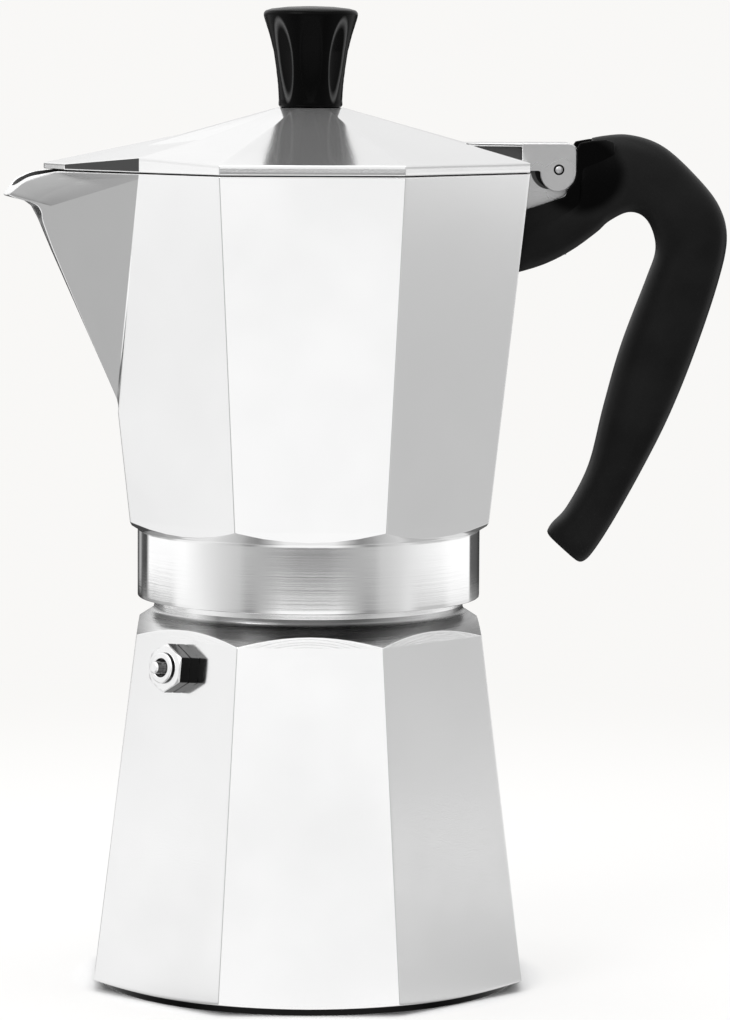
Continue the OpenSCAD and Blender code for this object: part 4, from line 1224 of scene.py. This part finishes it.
@dataclass
class Lid:
    """Lid: eight-sided hollow roof with a beak over the spout, and two ears round the hinge pin."""

    finishes: Finishes
    wall: float = 1.8
    bore_r: float = 2.02
    joint: Triple = (-37.2, -30.4, 184.4)
    near: Triple = (-54.0, -12.3, 182.5)
    tip: Triple = (-59.2, 0.0, 182.45)
    ridge: Triple = (-26.8, 0.0, LID_EDGE_Z + (LID_FLAT - 26.8) * LID_SLOPE)

    def crossing(self, point: Array, normal_deg: float) -> Array:
        """Point in the direction of another where the near beak plane meets a roof facet.

        The plane z = a x + b y + c goes through joint, near and ridge. Along the direction
        e the facet is LID_EDGE_Z + (LID_FLAT - s e.n) slope and the plane is
        s (a, b).e + c; the two are equal at the returned s e.

        Args:
            point: a point in the direction asked for.
            normal_deg: bearing of the roof facet's normal.

        Returns:
            The point, in millimetres.
        """
        p = np.array([self.joint, self.near, self.ridge])
        a, b, c = np.linalg.solve(np.c_[p[:, :2], np.ones(3)], p[:, 2])
        e = point[:2] / math.hypot(*point[:2])
        n = np.array([math.cos(math.radians(normal_deg)), math.sin(math.radians(normal_deg))])
        rise = a * e[0] + b * e[1]
        s = (LID_EDGE_Z + LID_FLAT * LID_SLOPE - c) / (rise + LID_SLOPE * float(e @ n))
        return np.array([s * e[0], s * e[1], c + s * rise])

    def build(self) -> list[Object]:
        """Builds the roof with its beak as a net closed both ways, and the hinge ears."""
        joint, near, tip = (np.array(v) for v in (self.joint, self.near, self.tip))
        over = [v[1] - math.tan(HALF_SIDE) * v[0] for v in (near, joint)]
        hip = near + (joint - near) * (over[0] / (over[0] - over[1]))
        edge = octagon(LID_FLAT, LID_EDGE_Z)
        outline = np.stack([*edge[:3], joint * MIRROR, hip * MIRROR, near * MIRROR, tip,
                            near, hip, joint, *edge[5:]])
        break_row = octagon(LID_FLAT * 0.9, LID_EDGE_Z + LID_FLAT * 0.1 * LID_SLOPE)
        folds = np.array([self.crossing(near, 180.0), self.crossing(hip, 202.5), self.crossing(joint, 225.0)])
        break_row = np.stack([*break_row[:3], *(folds * MIRROR)[::-1], self.ridge, *folds, *break_row[5:]])
        direction = outline[:, :2] / np.linalg.norm(outline[:, :2], axis=1, keepdims=True)
        bearing8 = np.degrees(np.arctan2(direction[:, 1], direction[:, 0]))
        off = np.radians((bearing8 + 22.5) % 45.0 - 22.5)
        boss = np.c_[direction * (BOSS_R / np.cos(off))[:, None], np.full(13, BOSS_Z)]
        low = outline * (1, 1, 0) + (0, 0, LID_Z)
        inner_low = mitred(low, np.array([1.8] * 4 + [2.6, 4.5, 6.5, 4.5, 2.6] + [1.8] * 4))
        inner_edge = inner_low.copy()
        side = (182.4, 182.4, 182.4, 182.5, 182.2, 181.9)
        inner_edge[:, 2] = (*side, 182.0, *side[::-1])
        inner_z = BOSS_Z - self.wall - 1.0
        control = np.stack([boss, break_row, outline, low, inner_low, inner_edge,
                            break_row - (0, 0, self.wall + 0.1), boss * (1, 1, 0) + (0, 0, inner_z)])
        ease = np.full(13, 0.5)
        ease[4:9] = (0.2, 0.9, 1.2, 0.9, 0.2)
        net = rings(control, ease, 6, 0.5)
        bearing = bearings(net[0])
        rows = [turned(self.bore_r, BOSS_Z, bearing), *net, turned(self.bore_r, inner_z, bearing)]
        radii = np.array([0.05, 0.25, 0.3, 0.3, 0.25, 0.25, 0.8, 0.8, 0.3, 0.05])
        surface = rounded(np.stack(rows), radii[:, None], True, ARC, 5, 0.5)
        roof = net_object("lid_roof", surface, self.finishes.lid, True)
        row, column = ARC + 5 + 2, ARC + 6 + 2
        # Painted half shade under the lid and on the side bands of the beak
        paint(roof, surface.shape[1], [
            (1, 4 * row + 4, 9 * row), (1, 3 * row + 3, 4 * row, 7 * column + 3, 9 * column),
            (1, 3 * row + 3, 4 * row, 3 * column + 4, 5 * column + 1)], self.finishes.half_shade)
        return [dress(roof, "lid", Slot.POLISHED, "lid"), *self.ears()]

    def ears(self) -> list[Object]:
        """Builds the hinge's top plate, a dark plate of painted shade in the gap under it, the ear on either side of
        the knuckle and the pin's rings of painted shade.
        """
        f = self.finishes
        top = HINGE_Z + 5.8
        plate_x = LID_FLAT - (top - LID_EDGE_Z) / LID_SLOPE
        nose = HINGE_X + 4.0
        a = np.radians(np.linspace(-180, 0, 13))[1:]
        corner = np.radians(np.linspace(0, 90, 5))
        ear = [(46.6, top), (46.6, LID_EDGE_Z - 0.7), (LID_FLAT, LID_Z), (HINGE_X - 4.2, LID_Z),
               *zip(HINGE_X + 4.1 * np.cos(a) - 0.1, HINGE_Z - 0.5 + 4.3 * np.sin(a)),
               *zip(nose - 1.8 + 1.8 * np.cos(corner), top - 1.8 + 1.8 * np.sin(corner))]
        cover = [(plate_x, top - 0.04), (plate_x + 1, top - 0.7), (nose - 0.8, top - 0.9),
                 (nose - 1.2, top - 0.3), (nose - 1.7, top - 0.04)]
        # Painted shade: a dark plate fills the gap between the ears under the cover, where shade falls
        gap_shade = [(plate_x + 1.5, top - 0.4), (47.4, top - 0.4), (47.4, LID_EDGE_Z - 0.3),
                   (plate_x + 1.5, top - 1.1)]
        made = [plate("hinge_cover", cover, -6.7, 6.7, f.lid, 0.2, 0.2),
                plate("hinge_gap_shade", gap_shade, -4.6, 4.6, f.half_shade, 0.1, 0.1),
                plate("hinge_ear_near", ear, -7.0, -4.5, f.plate, 0.4, 0.25),
                plate("hinge_ear_far", ear, 4.5, 7.0, f.plate, 0.4, 0.25)]
        # The pin's rings are near-black painted shade round the pin's ends
        for side in (-1.0, 1.0):
            place = Matrix.Translation((HINGE_X, 7.0 * side, HINGE_Z)) @ Matrix.Rotation(-side * math.pi / 2, 4, "X")
            made.append(lathe("pin_ring", [(0.78, -0.3), (1.2, -0.3), (1.2, 0.03), (0.78, 0.03)],
                              f.shade, 0.02, 48, True, place, 0.03))
        return [dress(o, "lid", Slot.POLISHED) for o in made]


@dataclass
class Knob:
    """Knob: turned moulding that flares upwards, with long rounded grooves."""

    finishes: Finishes
    foot_z: float = BOSS_Z + 0.02
    grooves: int = 8
    depth: float = 0.62
    profile: tuple[Pair, ...] = (
        (6.6, 0.0), (7.1, 0.5), (7.08, 1.8), (7.45, 5.2), (7.9, 8.2), (8.55, 12.4), (9.35, 15.9),
        (10.2, 19.2), (10.5, 20.7), (10.1, 21.4), (8.6, 21.85), (5.0, 22.25), (1.0, 22.38))

    def build(self) -> Object:
        """Builds the knob: radius R(z) less a groove depth over bearing and height.

        A groove is depth * max(0, 1 - across^2 - along^2)^0.7, with across the bearing from
        its middle over GROOVE_WIDE of a pitch, and along (z - GROOVE_Z) / GROOVE_HALF.
        """
        r, z = eased(self.profile, 1.2, False, 4, 5, 0.3)
        bearing = circle(256)
        pitch = 2 * math.pi / self.grooves
        across = ((bearing + pitch / 2) % pitch - pitch / 2) / (GROOVE_WIDE * pitch)
        along = (z - GROOVE_Z) / GROOVE_HALF
        hollow = np.maximum(0.0, 1 - across ** 2 - along ** 2) ** 0.7
        net = turned(r - self.depth * hollow, self.foot_z + z, bearing)
        return dress(net_object("knob_moulding", net, self.finishes.gloss), "lid", Slot.BAKELITE, "knob")


@dataclass
class Handle:
    """Handle: hooked grip and root, lofted through ribs and melted into one moulding."""

    finishes: Finishes
    grip_half: float = 10.8
    root_half: float = 9.0
    square: float = 2.6
    voxel: float = 0.55

    def ribs(self) -> tuple[Array, Array]:
        """Ribs of the grip, and of the root from the wall to it: outer X and height, inner ones, half width."""
        g, r = self.grip_half, self.root_half
        grip = [(59.3, 6.7, 59.2, -16.7, r), (65, 8.0, 63.6, -13.0, r), (71.2, 8.2, 67.4, -10.3, 0.5 * (r + g)),
                (78.3, 5.7, 71, -8.8, 0.2 * r + 0.8 * g), (85.6, -0.8, 74.4, -10.1, g),
                (90.8, -7.4, 76.4, -13.6, g), (92.6, -14.6, 76.9, -17.8, g), (90.7, -24.5, 75, -23.5, g),
                (85.7, -40, 69.4, -38.6, g), (80.4, -53.5, 65.6, -52.4, g), (74.8, -65, 62.4, -65.6, 0.95 * g),
                (67.8, -77.9, 57.6, -75, 0.85 * g), (63, -85.4, 54.4, -78.4, 0.76 * g),
                (60.6, -87.4, 53, -80.6, 0.55 * g)]
        root = [(46.96, -9.6, 45.56, -22.6, r), (52.6, -7.9, 52.2, -20.5, r),
                (58.4, -4.4, 58.5, -17.2, r), (65, 0, 64.8, -12.5, 0.95 * r)]
        return np.array(grip), np.array(root)

    def loft(self, name: str, ribs: Array, steps: int = 12, sides: int = 48) -> Object:
        """Closed loft: Catmull-Rom curves through the ribs, and a rounded square ring on each.

        A ring's point at angle a is mid + arm sgn(cos a)|cos a|^(2/q) along the rib and
        half sgn(sin a)|sin a|^(2/q) across it, with q the squareness.

        Args:
            name: the object's name.
            ribs: shape (n, 5), as ribs gives them.
            steps: rings from one rib to the next.
            sides: points on each ring.

        Returns:
            The object.
        """
        padded = np.concatenate([ribs[:1], ribs, ribs[-1:]])
        t = np.linspace(0, 1, steps, endpoint=False)[None, :, None]
        a, b, c, d = (padded[i:len(ribs) - 1 + i][:, None] for i in range(4))
        curve = 0.5 * (2 * b + (c - a) * t + (2 * a - 5 * b + 4 * c - d) * t ** 2
                       + (3 * b - a - 3 * c + d) * t ** 3)
        curve = np.concatenate([curve.reshape(-1, 5), ribs[-1:]])
        cos, sin = (np.sign(v) * np.abs(v) ** (2 / self.square) for v in (np.cos(circle(sides)), np.sin(circle(sides))))
        mid = 0.5 * (curve[:, :2] + curve[:, 2:4])
        arm = 0.5 * (curve[:, :2] - curve[:, 2:4])
        x = mid[:, :1] + arm[:, :1] * cos
        z = RIM_Z + mid[:, 1:] + arm[:, 1:] * cos
        return net_object(name, np.stack([x, curve[:, 4:] * sin, z], axis=-1), self.finishes.bakelite)

    def build(self) -> list[Object]:
        """Joins the two lofts, melts them on a fine grid, and cuts the hinge's slot and the seat.

        A thin cheek closes the slot on either side, with a bridge between them.
        """
        bakelite = self.finishes.bakelite
        grip, root = (self.loft(name, ribs) for name, ribs in zip(("handle_moulding", "handle_root"), self.ribs()))
        slot = [(40, RIM_Z + 20), (40, LUG_Z + 1), (HINGE_X - 1, HINGE_Z - 6.6), (HINGE_X + 3, HINGE_Z - 6.6),
                (HINGE_X + 6.6, HINGE_Z - 3), (HINGE_X + 7.8, HINGE_Z + 4), (HINGE_X + 7.8, RIM_Z + 20)]
        seat = [(40, LUG_Z - 0.2), (HINGE_X - 1, RIM_Z - 6.8), (HINGE_X + 2.5, RIM_Z - 5.6),
                (HINGE_X + 2.5, RIM_Z + 2), (40, RIM_Z + 2)]
        tongue = [(40, LUG_Z - 4.4), (59.2, LUG_Z - 4.4), (59.2, RIM_Z - 5), (40, RIM_Z - 5)]
        cuts = [plate(name, outline, -half, half, bakelite, 0.6, 0.3) for name, outline, half in (
            ("slot_cut", slot, 7.4), ("seat_cut", seat, 4.4), ("tongue_cut", tongue, 3.2))]
        modify(grip, "join", "BOOLEAN", operation="UNION", object=root, solver="EXACT")
        modify(grip, "melt", "REMESH", mode="VOXEL", voxel_size=self.voxel * MM, use_smooth_shade=True)
        modify(grip, "soften", "SMOOTH", factor=0.5, iterations=22)
        for cut in cuts:
            modify(grip, cut.name, "BOOLEAN", operation="DIFFERENCE", object=cut, solver="EXACT")
        bpy.context.view_layer.update()
        result = bpy.data.meshes.new_from_object(grip.evaluated_get(bpy.context.evaluated_depsgraph_get()))
        grip.modifiers.clear()
        grip.data = result
        result.materials.clear()
        result.materials.append(bakelite)
        for spare in [root, *cuts]:
            bpy.data.objects.remove(spare)
        grip.visible_glossy = False
        cheek = [(47.2, 172.6), (52.0, 174.1), (56.2, 175.7), (56.8, 177.4), (58.1, 178.9), (58.7, 180.6),
                 (58.7, 186.3), (59.3, 187.4), (62.0, 187.9), (65.0, 188.2), (66.8, 187.6), (67.4, 183.0),
                 (66.8, 179.0), (64.0, 175.0), (60.0, 172.2), (54.0, 169.4), (47.2, 167.5)]
        bridge = [(62.75, 178.0), (62.75, 186.9), (63.6, 187.4), (66.4, 187.4), (67.6, 184.0), (67.0, 179.0)]
        made = [plate("handle_cheek_near", cheek, -8.35, -7.4, bakelite, 0.5, 0.4),
                plate("handle_cheek_far", cheek, 7.4, 8.35, bakelite, 0.5, 0.4),
                plate("handle_bridge", bridge, -8.0, 8.0, bakelite, 0.5, 0.5)]
        return [dress(grip, "collector", Slot.BAKELITE, "handle")] + [
            dress(o, "collector", Slot.BAKELITE) for o in made]


# ---------------------------------------------------------------- studio


@dataclass
class Studio:
    """Pale floor and background, soft lights and the camera."""

    camera_height: float = 213.0
    camera_distance: float = 1089.6
    pitch: float = 5.65
    yaw: float = 0.6
    roll: float = 0.238
    focal: float = 173.0
    shift: float = 0.0551
    paper: float = 0.945
    sky_range: Pair = (0.13, 0.24)
    zenith: float = 0.9
    round_stops: tuple[Pair, ...] = (
        (0.1, 0.28), (0.165, 0.4), (0.178, 0.5), (0.212, 0.5), (0.232, 1.02), (0.29, 1.02), (0.4, 0.3),
        (0.45, 1.12), (0.55, 1.12), (0.6, 0.3), (0.69, 0.86), (0.715, 0.61), (0.775, 0.61), (0.8, 0.9),
        (0.87, 0.9), (0.9, 0.3))
    level_stops: tuple[Pair, ...] = (
        (0.0, 0.02), (0.04, 0.04), (0.07, 0.5), (0.085, 0.08), (0.115, 0.03), (0.128, 1.2), (0.25, 1.2),
        (0.30, 0.9), (0.358, 0.66), (0.42, 0.46), (0.48, 0.28), (0.53, 0.27), (0.6, 0.53), (0.658, 0.74),
        (0.715, 1.0), (0.793, 1.2), (0.872, 1.2), (0.886, 0.1), (0.93, 0.06), (0.95, 0.02), (1.0, 0.02))
    sky_stops: tuple[Pair, ...] = (
        (0.0, 1.06), (0.25, 1.15), (0.5, 1.2), (0.75, 1.0), (0.96, 0.86), (1.0, 0.96))

    def white(self) -> tuple[float, float, float, float]:
        """The faintly warm white that the camera sees behind the pot."""
        return rgba((self.paper, self.paper * 0.992, self.paper * 0.978))

    def camera(self) -> None:
        """Adds the camera: at camera_distance in front, turned back by the pot's own yaw."""
        data = bpy.data.cameras.new("camera")
        data.lens, data.sensor_width, data.sensor_fit = self.focal, 36.0, "AUTO"
        data.shift_x, data.clip_end = self.shift, 60.0
        eye = bpy.data.objects.new("camera", data)
        bpy.context.scene.collection.objects.link(eye)
        turn = Matrix.Rotation(math.radians(-self.yaw), 4, "Z")
        place = Matrix.Translation((0, -self.camera_distance * MM, self.camera_height * MM))
        tilt = Matrix.Rotation(math.radians(90 - self.pitch), 4, "X")
        lean = Matrix.Rotation(math.radians(self.roll), 4, "Z")
        eye.matrix_world = turn @ place @ tilt @ lean
        bpy.context.scene.camera = eye

    def tones(self) -> Tree:
        """Grey levels of the studio round the pot, as four ramps over the bearing.

        The position on a ramp is 0.5 towards the front, 0.25 to the left and 0.75 to the
        right: (atan2(x, -y) + pi) / 2 pi. Near and Rear differ only behind the pot.
        """
        ramps = {"Near": ((0.0, 0.03), (0.08, 0.03), *self.round_stops, (0.95, 0.12), (1.0, 0.03)),
                 "Level": self.level_stops,
                 "Rear": ((0.0, 0.8), (0.06, 0.8), *self.round_stops, (0.94, 0.8), (1.0, 0.8)),
                 "Sky": self.sky_stops}
        g = Group("studio_tones", {"Direction": None}, dict.fromkeys(ramps, "Color"))
        x, y, _ = g.split(g.given["Direction"])
        at = g.spread(g.maths("ARCTAN2", x, g.times(y, -1.0)), (-math.pi, math.pi))
        return g.close(**{name: g.ramp(at, stops) for name, stops in ramps.items()})

    def floor(self, tones: Tree) -> Object:
        """Adds a wide pale floor that shows the background's white and keeps a soft shadow.

        In metal it shows the studio's grey levels instead, Near close by and Level far off.

        Args:
            tones: the studio's grey levels.

        Returns:
            The floor.
        """
        s = Shader("paper_floor")
        plain = s.add("BsdfPrincipled", {"Base Color": rgba(0.82), "Roughness": 1.0, "Specular IOR Level": 0.0})
        path, place = s.add("LightPath").outputs, s.place()
        away = s.vector("LENGTH", place)
        seen = s.times(s.maths("MAXIMUM", path["Is Camera Ray"], path["Is Transmission Ray"]),
                       s.times(s.spread(away, (0.12, 0.5), (0.6, 1.0), smooth=True),
                               s.spread(away, (0.0495, 0.055), smooth=True)))
        shown = s.either(seen, plain.outputs[0], s.add("Emission", {"Color": self.white()}).outputs[0])
        levels = s.group(tones, Direction=place)
        tone = s.blend("RGBA", s.spread(away, (0.765, 0.8), smooth=True), levels["Near"], levels["Level"])
        mirrored = s.add("Emission", {"Color": tone}).outputs[0]
        material = s.close(s.either(s.times(path["Is Glossy Ray"], 0.97), shown, mirrored))
        corners = np.array([[-1, -1, 0], [1, -1, 0], [1, 1, 0], [-1, 1, 0]], float) * 12000.0
        sheet = mesh_object("paper_floor", corners, [np.array([[0, 1, 2, 3]])], material, smooth=False)
        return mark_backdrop(sheet)

    def surroundings(self, tones: Tree) -> None:
        """Sets the world: plain white for the camera, and for all else the studio's grey levels.

        They are Rear near the horizon and Sky above it, a little darker straight up.

        Args:
            tones: the studio's grey levels.
        """
        world = bpy.data.worlds.new("studio")
        bpy.context.scene.world = world
        world.use_nodes = True
        w = Nodes(world.node_tree)
        way = w.add("TexCoord").outputs["Generated"]
        z = w.split(way)[2]
        levels = w.group(tones, Direction=way)
        sky = w.blend("RGBA", w.spread(z, self.sky_range, smooth=True), levels["Rear"], levels["Sky"])
        lit = w.scaled(sky, w.spread(z, (0.72, 0.86), (1.0, self.zenith), smooth=True))
        path = w.add("LightPath").outputs
        seen = w.maths("MAXIMUM", path["Is Camera Ray"], path["Is Transmission Ray"])
        both = w.either(seen, w.add("Background", {0: lit}).outputs[0],
                        w.add("Background", {0: self.white()}).outputs[0])
        w.add("OutputWorld", {0: both})

    def lamp(self, name: str, place: Triple, size: Pair, watts: float) -> None:
        """Adds a rectangular lamp, in metres, that faces the middle of the pot.

        Args:
            name: the lamp's name.
            place: where it stands.
            size: its width and height.
            watts: its power.
        """
        data = bpy.data.lights.new(name, "AREA")
        data.shape, data.size, data.size_y, data.energy = "RECTANGLE", size[0], size[1], watts
        data.specular_factor = 0.3
        lamp = bpy.data.objects.new(name, data)
        lamp.location = place
        lamp.rotation_euler = (Vector((0, 0, 0.11)) - Vector(place)).to_track_quat("-Z", "Y").to_euler()
        bpy.context.scene.collection.objects.link(lamp)

    def build(self) -> None:
        """Sets the stage, the lights and the view transform."""
        tones = self.tones()
        self.camera()
        self.floor(tones)
        self.surroundings(tones)
        self.lamp("key", (-0.9, -1.1, 1.2), (0.9, 0.9), 9.0)
        self.lamp("top", (0.1, 0.2, 1.5), (1.2, 0.8), 8.0)
        bpy.context.scene.view_settings.view_transform = "Standard"


def dress_nodes(nodes: dict[str, Object], f: Finishes) -> None:
    """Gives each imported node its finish.

    Args:
        nodes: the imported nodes, by name.
        f: the finishes.
    """
    for material, names in (
            (f.valve, "valve_body valve_cap valve_nut"), (f.fibre, "valve_washer"),
            (f.steel, "valve_spring valve_stem hinge_pin handle_screw knob_screw knob_washer"),
            (f.sheet, "funnel_tube basket_cup basket_screen filter_plate"), (f.silicone, "gasket"),
            (f.cast, "chimney"), (f.lower, "boiler"), (f.upper, "collector"), (f.lid, "lid"),
            (f.gloss, "knob"), (f.bakelite, "handle")):
        for name in names.split():
            nodes[name].data.materials.clear()
            nodes[name].data.materials.append(material)
            log.info("%s gets %s", name, material.name)


def main() -> None:
    logging.basicConfig(level=logging.INFO, format="%(name)s: %(message)s")
    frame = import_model()
    finishes = Finishes(Effects())
    Studio().build()
    dress_nodes(frame["nodes"], finishes)
    boiler = Boiler(finishes)
    boiler.build()
    Valve(finishes).build(boiler.flat(VALVE_Z))
    for piece in (Collector, Lid, Knob, Handle):
        piece(finishes).build()


if __name__ == "__main__":
    main()
